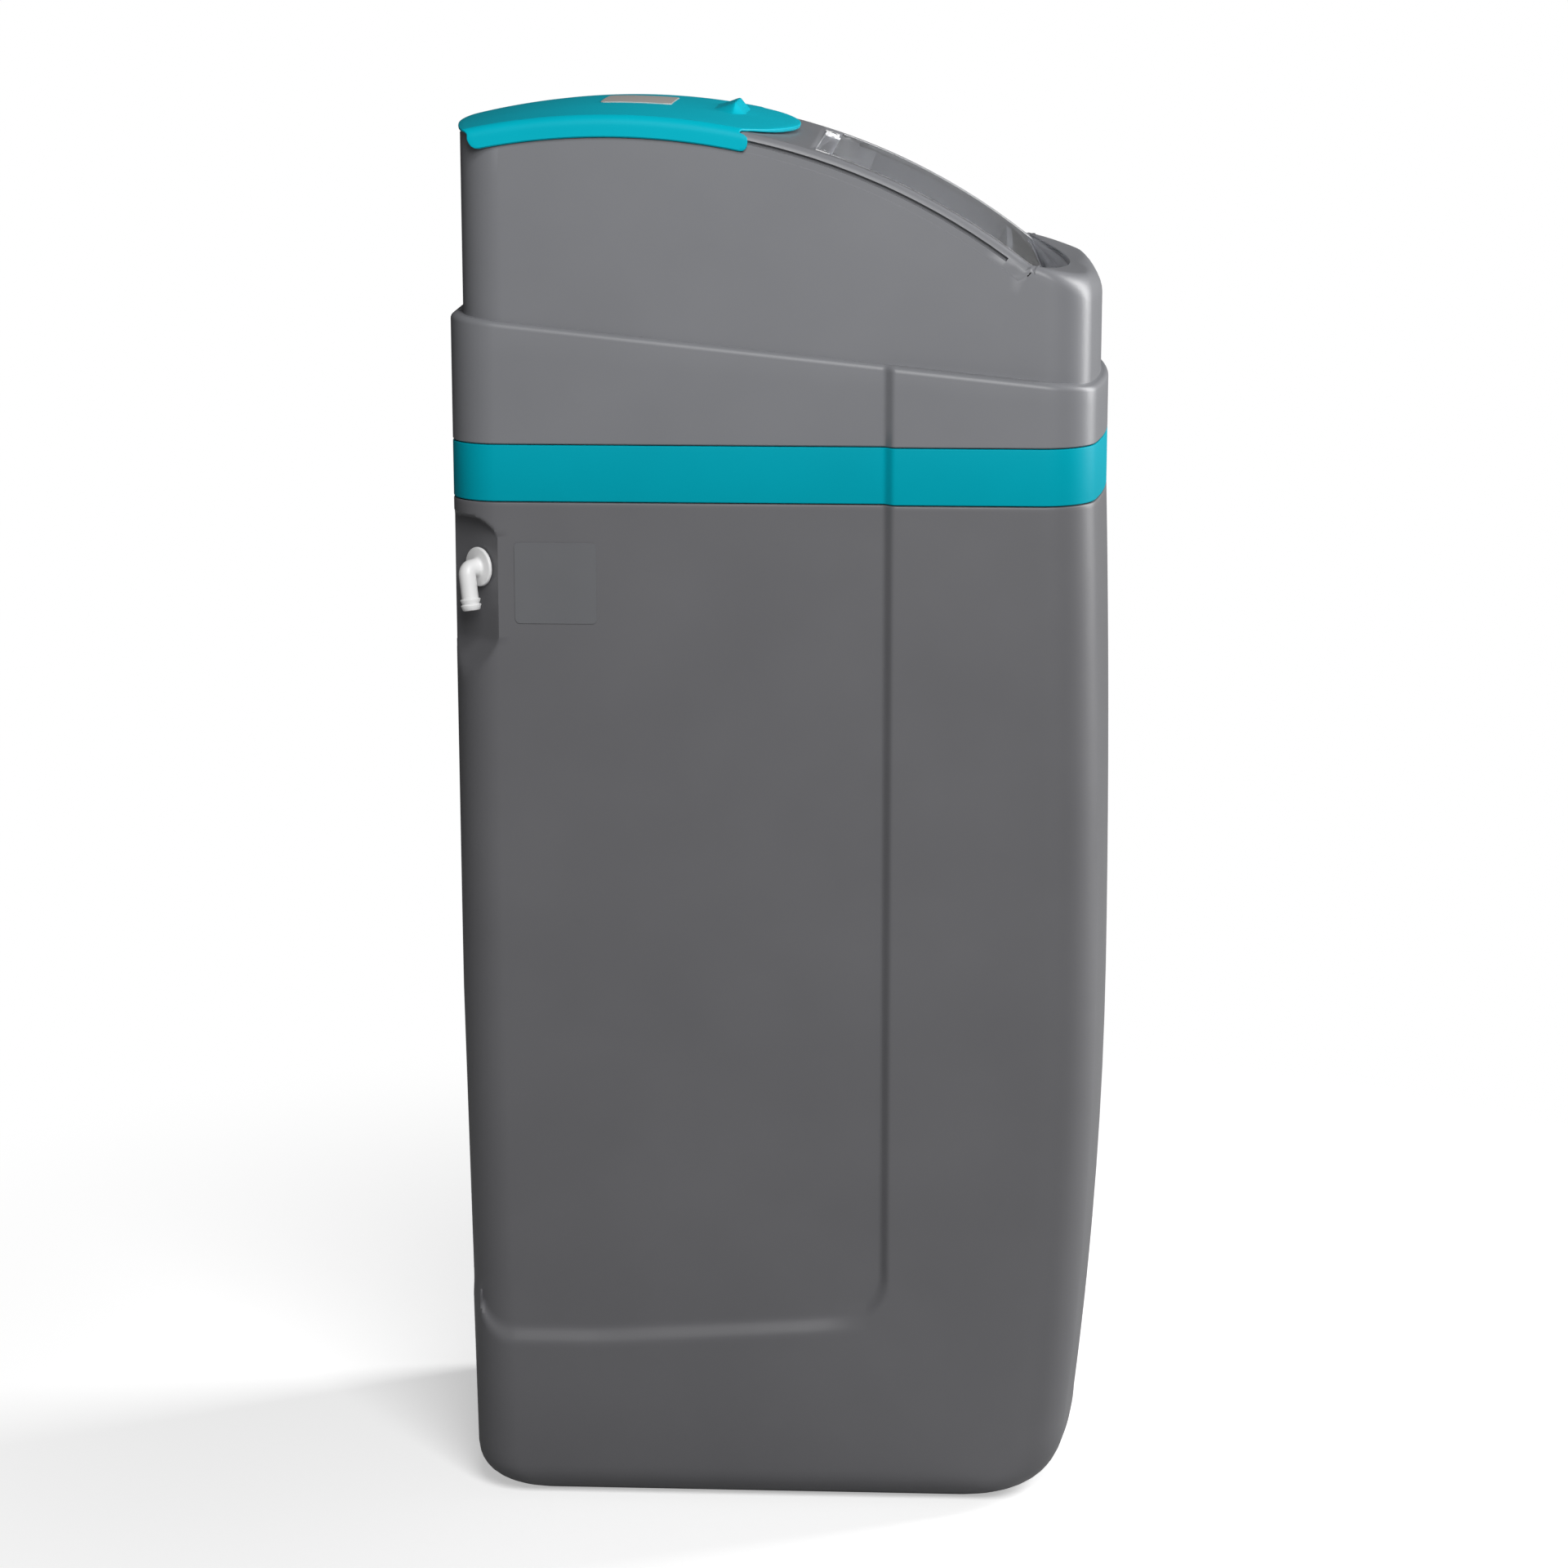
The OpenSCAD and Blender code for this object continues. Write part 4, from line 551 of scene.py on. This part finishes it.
def noseRows(zone, value, share):
    # the raised nose: wall, round edge, top and the step behind it
    footX, y = planPoint(upper, zone, value)[:2]
    foot = Vector((footX, y, trackHeight(footX, track["channelR"])))
    x = footX
    if zone == "side":
        x = mix(cover["noseX"], footX, (footX - noseX) / (frontCorner(upper)[0] - noseX))
    edge = Vector((x, y, cover["noseZ"] - cover["noseSlope"] * (x - cover["noseX"])))
    crestY = cover["plateY"] * (1 - share)
    bulge = 1 - (crestY / cover["plateY"]) ** 2
    lean = cover["noseLean"] * bulge
    topR = track["lidR"] + (cover["noseEnds"] + cover["noseLift"] * bulge)
    bowX = bowAlong(crestY, lid["gap"])

    def step(back, r):
        px, pz = onArc(noseAngle, bowX - back, r)
        return Vector((px, crestY, pz))

    crest = step(lean, topR)
    inward = crest - edge
    d = mix(*cover["noseRound"], ease(x, cover["noseRoundX"]))
    start = edge - Vector((0, 0, d))
    end = edge + inward * min(d / inward.length, 1)
    weight = math.sin(Vector((0, 0, -1)).angle(inward) / 2)
    points = [foot.lerp(start, t) for t in steps(0, 3, 1)]
    for t in steps(0, 8, 1)[1:]:
        a, b, c = (1 - t) ** 2, 2 * weight * t * (1 - t), t * t
        points.append((start * a + edge * b + end * c) / (a + b + c))
    points += [end.lerp(crest, t) for t in steps(0, 5, 1)[1:]]
    points += [step(lean + back, topR - down) for back, down in cover["lipEase"]]
    points += [step(0, min(cover["lipR"], topR - cover["lipDrop"])), step(0, cover["stepLow"])]
    return points


def coverColumn(zone, value, side, share):
    # from the skirt's foot over the ledge and up the wall to the rail or the nose
    sx, sy = casePoint(zone, value, 1, cabinet["top"], 0)[:2]
    nx, ny = planPoint(casePlan(cabinet["top"]), zone, value)[2:]
    ux, uy = planPoint(upper, zone, value)[:2]
    low, edge, r = cover["low"], cover["edge"], cover["ledgeR"]
    ledge = ledgeHeight(sx)
    rows = [(cover["wall"], low), (edge, low), (0, low + edge)]
    rows += [(0, mix(low + edge, ledge - r, t)) for t in steps(0, 4, 1)[1:-1]]
    rows += [(r * (1 - math.cos(a)), ledge - r * (1 - math.sin(a)))
             for a in steps(0, 7, math.pi / 2)]
    points = [(sx - nx * inset, sy - ny * inset, z) for inset, z in rows]
    wallTop = trackHeight(ux, track["channelR"])
    points += [(ux, uy, mix(ledgeHeight(ux), wallTop, t))
               for t in steps(0, 1, cover["wallFoot"], 6, 1)[:-1]]
    if zone in ("back", "cornerBack") or (zone == "side" and ux < noseX):
        fade = ease(ux, cover["railFade"]) if zone == "side" else 0
        points += railRows(ux, uy, zone != "side" or ux < slotX, fade)
    else:
        points += noseRows(zone, value, share)
    return [(x, side * y, z) for x, y, z in points]


plateKeep = {"ledge": 1, "above": 0.6, "short": 0.1, "backFaces": 0.3, "backPoints": 0.4}


def makeCover():
    onNose = [place for place in halfRing if place[0] in ("cornerFront", "bow")
              or (place[0] == "side" and place[1] > sideStop(noseX))]
    columns = []
    for zone, value, side in ring:
        place = (zone, value)
        share = onNose.index(place) / (len(onNose) - 1) if place in onNose else 0
        columns.append(coverColumn(zone, value, side, share))
    bm = shapeGrid(columns)
    backX = (cover["backFace"] + upper["backBow"]) * mm
    ledgeTop = (ledgeHeight(upper["back"]) + plateKeep["ledge"]) * mm
    spare = []
    for face in bm.faces:
        x, y, z = face.calc_center_median()
        if abs(y) < cover["backHalf"] * mm and x < backX and z > ledgeTop:
            spare.append(face)
    bmesh.ops.delete(bm, geom=spare, context="FACES")
    piece = addPiece("coverShell", bm, "cover_grey", "housing", ["top_cover"])
    shell = piece.modifiers.new("wall", "SOLIDIFY")
    shell.thickness, shell.offset = cover["wall"] * mm, -1


def makeCoverPlate():
    # the solid's own plate under the lid, and its back wall above the ledge
    bm = nodeCopy("top_cover")
    a = math.radians(noseAngle)
    backX = cover["backFace"] + cover["wall"]
    topR = track["r"] + plateKeep["above"]
    spare = []
    for face in bm.faces:
        x, y, z = face.calc_center_median() / mm
        dx, dz, y = x - track["x"], z - track["z"], abs(y)
        along = dx * math.cos(a) - dz * math.sin(a)
        reach = bowAlong(min(y, lid["half"]), lid["gap"]) - plateKeep["short"]
        onPlate = cover["plateLow"] < math.hypot(dx, dz) < topR and y < cover["plateY"]
        onBack = x < backX + plateKeep["backFaces"] and y < cover["backHalf"]
        if not (onPlate and along < reach or onBack and z > cover["ledgeZ"]):
            spare.append(face)
    bmesh.ops.delete(bm, geom=spare, context="FACES")
    for vert in bm.verts:
        if vert.co.x < (backX + plateKeep["backPoints"]) * mm:
            outward = min(abs(vert.co.y) / (cover["backHalf"] * mm), 1)
            vert.co.x += upper["backBow"] * mm * outward ** 2
    addPiece("coverPlate", bm, "cover_grey", "housing")


# lid

lidShape = {
    "crest": 538.4, "dome": 4, "domeY": 139, "shoulderR": 8, "shoulderTop": 534.6,
    "shoulderTurn": 78, "thin": 2, "thinFrom": (80, 58), "sideMore": 0.4, "sideFrom": (143, 8),
    "rearBow": 1.6, "rearR": 9, "rearFrom": (525, 8), "cornerR": 5,
    "room": 0.1, "endRoom": 0.35, "endFrom": (115, 25),
    "skirtLean": 0.65, "skirtFront": 0.5, "skirtRamp": 1.6, "skirtFrom": (148.9, 0.8),
    "edge": 1.0, "ends": ((0, 0), (0.06, 0.55), (0.35, 0.9), (1, 1)), "rows": 56,
}


def lidTop(y):
    # the lid's top is a little domed across
    return lidShape["crest"] - lidShape["dome"] * (y / lidShape["domeY"]) ** 2


def lidWall(y):
    # the lid is thinnest over its rails
    s, y = lidShape, abs(y)
    wall = mix(lid["t"], s["thin"], ease(y, s["thinFrom"]))
    return wall + s["sideMore"] * ease(y, s["sideFrom"])


def lidSection():
    # outer points of one half, from the skirt's foot to the middle
    s = lidShape
    half = lid["half"]
    shoulderZ = s["shoulderTop"] - s["shoulderR"]
    points = [(half, r) for r in steps(lid["skirtR"] + 1, 4, shoulderZ)]
    points += [(half - s["shoulderR"] * (1 - math.cos(a)), shoulderZ + s["shoulderR"] * math.sin(a))
               for a in steps(0, 8, math.radians(s["shoulderTurn"]))[1:]]
    points += [(y, lidTop(y)) for y in steps(s["domeY"], 18, 0)]
    return points


def lidEnds(y, r):
    # the lid's back and front angle at a point of its section
    s = lidShape
    degree = math.radians(track["lidR"])
    low = footInset(s["cornerR"], min(max(r - lid["skirtR"], 0), s["cornerR"]))
    side = footInset(s["rearR"], min(max(lid["half"] - abs(y), 0), s["rearR"]))
    side *= ease(r, s["rearFrom"])
    drop = (track["lidR"] - r) / (track["lidR"] - lid["skirtR"])
    back = lid["back"] + s["skirtLean"] * max(drop, 0) + (low + side) / degree
    back += s["rearBow"] * ((y / lid["half"]) ** 2 - 1)
    front = lid["tip"] + math.degrees(bowAlong(min(abs(y), lid["half"])) / track["lidR"])
    topReach = -s["room"] - s["endRoom"] * ease(abs(y), s["endFrom"])
    skirtReach = s["skirtFront"] * smooth(drop * s["skirtRamp"])
    front += mix(topReach, skirtReach, ease(abs(y), s["skirtFrom"]))
    front -= low / degree
    return back, front


def makeLid():
    half = lidSection()
    outer = [(-y, r) for y, r in half] + [(y, r) for y, r in reversed(half[:-1])]
    inner = []
    for i, (y, r) in enumerate(outer):
        y0, r0 = outer[max(i - 1, 0)]
        y1, r1 = outer[min(i + 1, len(outer) - 1)]
        span = math.hypot(y1 - y0, r1 - r0)
        wall = lidWall(y)
        inner.append((y + wall * (r1 - r0) / span, r - wall * (y1 - y0) / span))
    mids = [(mix(a[0], b[0], 0.5), mix(a[1], b[1], 0.5)) for a, b in zip(outer, inner)]
    tipL, tipR = [(m[0], lid["skirtR"]) for m in (mids[0], mids[-1])]
    loop = [(tipL, tipL), *zip(outer, mids), (tipR, tipR)]
    loop += [*list(zip(inner, mids))[::-1], (tipL, tipL)]
    edge, ends = lidShape["edge"] / math.radians(track["lidR"]), lidShape["ends"]
    columns = []
    for (y, r), (my, mr) in reversed(loop):
        back, front = lidEnds(my, mr)
        rows = [(back + edge * along, full) for along, full in ends]
        rows += [(a, 1) for a in steps(back + edge, lidShape["rows"], front - edge)[1:-1]]
        rows += [(front - edge * along, full) for along, full in reversed(ends)]
        column = []
        for a, full in rows:
            x, z = onArc(a, 0, mix(mr, r, full))
            column.append((x, mix(my, y, full), z))
        columns.append(column)
    addPiece("lidShell", shapeGrid(columns), "lid_teal", "lid", ["salt_lid"], crease=50)


grip = {
    "at": 9.8, "half": 60, "full": 33, "rear": 18, "front": 11, "high": 8, "sink": 0.6,
    "round": 0.006, "crown": 0.12, "rim": 0.98, "foot": 0.02, "curve": 1.4, "narrow": 0.6,
}


def makeGrip():
    columns = []
    for y in steps(grip["half"], 40, -grip["half"]):
        fade = 1 - smooth((abs(y) - grip["full"]) / (grip["half"] - grip["full"]))
        column = []
        for u in steps(-1, 18, -grip["crown"], 6, grip["crown"], 16, 1):
            reach = grip["rear"] if u < 0 else grip["front"]
            tall = 0
            if abs(u) < grip["rim"]:
                tall = max(1 - math.sqrt(u * u + grip["round"]) + grip["foot"], 0) ** grip["curve"]
            along = u * reach * mix(grip["narrow"], 1, fade)
            a = grip["at"] + math.degrees(along / track["lidR"])
            up = (grip["high"] + grip["sink"]) * tall * fade
            x, z = onArc(a, 0, lidTop(y) - grip["sink"] + up)
            column.append((x, y, z))
        columns.append(column)
    addPiece("lidGrip", shapeGrid(columns), "lid_teal", "lid", crease=60)


# thin white rods along the clear pane's long edges: a painted highlight where light catches them

paneGlint = {"y": 130.6, "r": 531.55, "half": 0.4, "from": 19, "to": 38.3, "steps": 56}


def makePaneGlints():
    # white plastic rods laid on the pane's long edges, as a painted highlight
    span = steps(paneGlint["from"], paneGlint["steps"], paneGlint["to"])
    stations = [(span[0], 0)] + [(a, paneGlint["half"]) for a in span] + [(span[-1], 0)]
    for name, side in (("paneGlintNear", -1), ("paneGlintFar", 1)):
        columns = []
        for a, half in stations:
            column = []
            for turnAt in steps(0, 8, -2 * math.pi):
                x, z = onArc(a, 0, paneGlint["r"] + half * math.sin(turnAt))
                column.append((x, side * paneGlint["y"] + half * math.cos(turnAt), z))
            columns.append(column)
        addPiece(name, shapeGrid(columns), "white_plastic", "window", crease=60)


# bare plates

badge = {"at": 1.6, "half": 46, "reach": 28, "r": 6, "high": 0.7, "sink": 0.4, "edge": 0.35}


def makeBadge():
    # follows the lid's dome, with round corners
    half, r, edge = badge["half"], badge["r"], badge["edge"]
    high, sink = badge["high"], badge["sink"]
    across = steps(half, 8, half - r, 16, r - half, 8, -half)
    columns = []
    for y, full in [(half, 0)] + [(y, 1) for y in across] + [(-half, 0)]:
        reach = badge["reach"] - footInset(r, half - abs(y))
        rows = [(-reach, -sink), (-reach, high - edge)]
        rows += [(along, high) for along in steps(edge - reach, 16, reach - edge)]
        rows += [(reach, high - edge), (reach, -sink)]
        column = []
        for along, up in rows:
            a = badge["at"] + math.degrees(along / track["lidR"])
            x, z = onArc(a, 0, lidTop(y) + mix(-sink, up, full))
            column.append((x, y, z))
        columns.append(column)
    addPiece("badgePlate", shapeGrid(columns), "badge", "lid", ["badge_plate"], crease=30)


label = {"r": 4, "segments": 8, "flat": 0.05, "shortEdge": 0.0012, "corner": 1}


def makeLabel():
    # the solid's own label, with its corners rounded
    bm = nodeCopy("side_label")
    flat = math.radians(label["flat"])
    bmesh.ops.dissolve_limit(bm, angle_limit=flat, verts=bm.verts, edges=bm.edges)
    corners = [e for e in bm.edges if e.calc_length() < label["shortEdge"]
               and e.calc_face_angle(0) > label["corner"]]
    bmesh.ops.bevel(bm, geom=corners, offset=label["r"] * mm, segments=label["segments"],
                    profile=0.5, affect="EDGES", material=-1)
    addPiece("labelPlate", bm, "label", "housing", ["side_label"], crease=30)


# overflow elbow

elbow = {
    "z": 774, "shift": 6, "tilt": 10, "bendR": 5.5, "bendAt": 15, "leg": 33, "tubeR": 6.7,
    "bore": 4.2, "boreDeep": 14, "stem": (-12, 8), "flangeR": 15.5, "flange": (1.5, 4.5),
    "rimLow": ((0, 0.6), (0.2, 0.2), (0.7, 0)), "rimHigh": ((0.9, 0), (0.3, 0.4), (0, 1.2)),
    "fillet": 2.2, "tubeFrom": 2.6, "barb": (4.5, 4.0, 1.3), "barbGap": 0.3,
    "barbRise": ((0, 0.8), (0.3, 1), (0.8, 1)), "barbFoot": 0.1, "mouth": (0.4, 0.6, 0.3),
}


def elbowPath(s):
    # middle, and the way out from the bend's inside, at a distance along the elbow
    e = elbow
    straight, bend = e["bendAt"] - e["bendR"], e["bendR"] * math.pi / 2
    if s < straight:
        return Vector((0, 0, s)), Vector((-1, 0, 0))
    a = min((s - straight) / e["bendR"], math.pi / 2)
    way = Vector((-math.cos(a), 0, math.sin(a)))
    middle = Vector((e["bendR"], 0, straight)) + way * e["bendR"]
    return middle + Vector((max(s - straight - bend, 0), 0, 0)), way


def makeElbow():
    e = elbow
    face = Vector((pocket["x"], pocket["y"], e["z"]))
    face += Vector((diagonal, -diagonal, 0)) * e["shift"]
    basis = Matrix(((0, diagonal, -diagonal), (0, -diagonal, -diagonal), (-1, 0, 0)))
    turn = Matrix.Rotation(math.radians(e["tilt"]), 3, "Z")
    r, bore, rim, (low, high) = e["tubeR"], e["bore"], e["flangeR"], e["flange"]
    straight = e["bendAt"] - e["bendR"]
    end = straight + e["bendR"] * math.pi / 2 + e["leg"] - e["bendR"]
    pitch, length, up = e["barb"]
    stemAt, stemR = e["stem"]
    stations = [(stemAt, bore), (stemAt, stemR), (low, stemR)]
    stations += [(low + along, rim - drop) for along, drop in e["rimLow"]]
    stations += [(high - along, rim - drop) for along, drop in e["rimHigh"]]
    stations += [(high + e["fillet"] * (1 - math.sin(a)), r + e["fillet"] * (1 - math.cos(a)))
                 for a in steps(math.pi / 2, 4, 0)]
    tube = steps(high + e["tubeFrom"], 2, straight, 10, end - e["leg"] + e["bendR"],
                 3, end - 2 * pitch - e["barbGap"])
    stations += [(s, r) for s in tube]
    for k in (2, 1):
        foot = end - k * pitch
        stations += [(foot + along, r + up * share) for along, share in e["barbRise"]]
        stations.append((foot + length, r + e["barbFoot"]))
    back, outer, inner = e["mouth"]
    stations += [(end - back, r), (end, r - outer), (end, bore + inner), (end - back, bore),
                 (end - e["boreDeep"], bore)]
    columns = []
    for turnAt in steps(0, 48, 2 * math.pi):
        column = []
        for s, radius in stations:
            middle, way = elbowPath(s)
            point = middle + way * (radius * math.cos(turnAt))
            point += Vector((0, radius * math.sin(turnAt), 0))
            column.append(face + basis @ (turn @ point))
        columns.append(column)
    bm = shapeGrid(columns)
    addPiece("elbowShell", bm, "white_plastic", "housing", ["overflow_elbow"], crease=50)


makeCabinet()
makeBand()
makeCover()
makeCoverPlate()
makeLid()
makeGrip()
makePaneGlints()
makeBadge()
makeLabel()
makeElbow()
print("shells made")


# floor, light and camera

stageLook = {
    "size": 6.0, "white": (0.9, 0.9, 0.9, 1), "rough": 0.9, "bounce": (0.45, 0.45, 0.45, 1),
    "near": 0.45, "far": 1.2, "glow": 0.45,
}


def makeStage():
    # shaded near the part and plain white further out, and dimmer to all but the camera
    mesh = bpy.data.meshes.new("floor")
    bm = bmesh.new()
    bmesh.ops.create_grid(bm, x_segments=1, y_segments=1, size=stageLook["size"])
    bm.to_mesh(mesh)
    bm.free()
    floor = bpy.data.objects.new("floor", mesh)
    bpy.context.scene.collection.objects.link(floor)
    finish, tree, shader = startFinish("floor_white")
    shader.inputs["Base Color"].default_value = stageLook["white"]
    shader.inputs["Roughness"].default_value = stageLook["rough"]
    shader.inputs["Specular IOR Level"].default_value = 0
    bounce = addNode(tree, "ShaderNodeBsdfDiffuse", Color=stageLook["bounce"])
    path = addNode(tree, "ShaderNodeLightPath")
    place = addNode(tree, "ShaderNodeTexCoord")
    reach = addNode(tree, "ShaderNodeVectorMath", operation="LENGTH")
    fade = addNode(tree, "ShaderNodeMapRange", interpolation_type="SMOOTHSTEP",
                   From_Min=stageLook["near"], From_Max=stageLook["far"])
    glow = addNode(tree, "ShaderNodeEmission", Strength=stageLook["glow"])
    white = addNode(tree, "ShaderNodeEmission", Strength=1.0)
    near = addNode(tree, "ShaderNodeAddShader")
    ground = addNode(tree, "ShaderNodeMixShader")
    pick = addNode(tree, "ShaderNodeMixShader")
    link = tree.links.new
    link(place.outputs["Object"], reach.inputs[0])
    link(reach.outputs["Value"], fade.inputs["Value"])
    link(shader.outputs[0], near.inputs[0])
    link(glow.outputs[0], near.inputs[1])
    link(fade.outputs["Result"], ground.inputs[0])
    link(near.outputs[0], ground.inputs[1])
    link(white.outputs[0], ground.inputs[2])
    link(path.outputs["Is Camera Ray"], pick.inputs[0])
    link(bounce.outputs[0], pick.inputs[1])
    link(ground.outputs[0], pick.inputs[2])
    link(pick.outputs[0], tree.nodes["Material Output"].inputs["Surface"])
    mesh.materials.append(finish)


worldLook = {"colour": (1, 1, 1, 1), "fill": 0.07, "mirrored": 0.04, "white": 1.0}


def makeWorld():
    # white to the camera and through the pane, dim to all else
    world = bpy.data.worlds.new("studio")
    bpy.context.scene.world = world
    world.use_nodes = True
    tree = world.node_tree
    colour = worldLook["colour"]
    fill = tree.nodes["Background"]
    fill.inputs["Color"].default_value = colour
    fill.inputs["Strength"].default_value = worldLook["fill"]
    mirrored, white = (addNode(tree, "ShaderNodeBackground", Color=colour, Strength=worldLook[key])
                       for key in ("mirrored", "white"))
    path = addNode(tree, "ShaderNodeLightPath")
    seen = addNode(tree, "ShaderNodeMath", operation="MAXIMUM")
    dim = addNode(tree, "ShaderNodeMixShader")
    pick = addNode(tree, "ShaderNodeMixShader")
    link = tree.links.new
    link(path.outputs["Is Glossy Ray"], dim.inputs[0])
    link(fill.outputs[0], dim.inputs[1])
    link(mirrored.outputs[0], dim.inputs[2])
    link(path.outputs["Is Camera Ray"], seen.inputs[0])
    link(path.outputs["Is Transmission Ray"], seen.inputs[1])
    link(seen.outputs[0], pick.inputs[0])
    link(dim.outputs[0], pick.inputs[1])
    link(white.outputs[0], pick.inputs[2])
    link(pick.outputs[0], tree.nodes["World Output"].inputs["Surface"])


lamps = {
    "overhead": {
        "at": (0.35, -1.9, 2.9), "aim": (0.05, 0, 0.9), "size": (1.2, 0.5), "power": 22},
    "front": {
        "at": (2.3, 1.0, 1.5), "aim": (0.25, 0, 0.65), "size": (0.8, 2.0), "power": 72},
    "fill": {
        "at": (0.55, -2.1, 1.95), "aim": (0.05, 0, 0.75), "size": (1.3, 0.9), "power": 32},
}


def makeLamps():
    for name, lamp in lamps.items():
        data = bpy.data.lights.new(name, "AREA")
        data.shape = "RECTANGLE"
        data.size, data.size_y = lamp["size"]
        data.energy = lamp["power"]
        light = bpy.data.objects.new(name, data)
        light.visible_camera = False
        light.location = lamp["at"]
        light.rotation_mode = "QUATERNION"
        aim = Vector(lamp["aim"]) - Vector(lamp["at"])
        light.rotation_quaternion = aim.to_track_quat("-Z", "Y")
        bpy.context.scene.collection.objects.link(light)


cameraSet = {
    "pivot": (-0.007, 0, 1.299), "distance": 3.161, "turn": 2.8, "down": 13.0, "lens": 90,
    "sensor": 36, "clip": (0.05, 60),
}


def makeCamera():
    data = bpy.data.cameras.new("camera")
    data.lens, data.sensor_width = cameraSet["lens"], cameraSet["sensor"]
    data.clip_start, data.clip_end = cameraSet["clip"]
    camera = bpy.data.objects.new("camera", data)
    turn, down = math.radians(cameraSet["turn"]), math.radians(cameraSet["down"])
    away = Vector((math.sin(turn), -math.cos(turn), 0))
    camera.location = Vector(cameraSet["pivot"]) + away * cameraSet["distance"]
    look = -away * math.cos(down) - Vector((0, 0, math.sin(down)))
    camera.rotation_mode = "QUATERNION"
    camera.rotation_quaternion = look.to_track_quat("-Z", "Y")
    bpy.context.scene.collection.objects.link(camera)
    bpy.context.scene.camera = camera


makeStage()
makeWorld()
makeLamps()
makeCamera()
bpy.context.scene.view_settings.view_transform = "Standard"
print("stage, lamps and camera set")
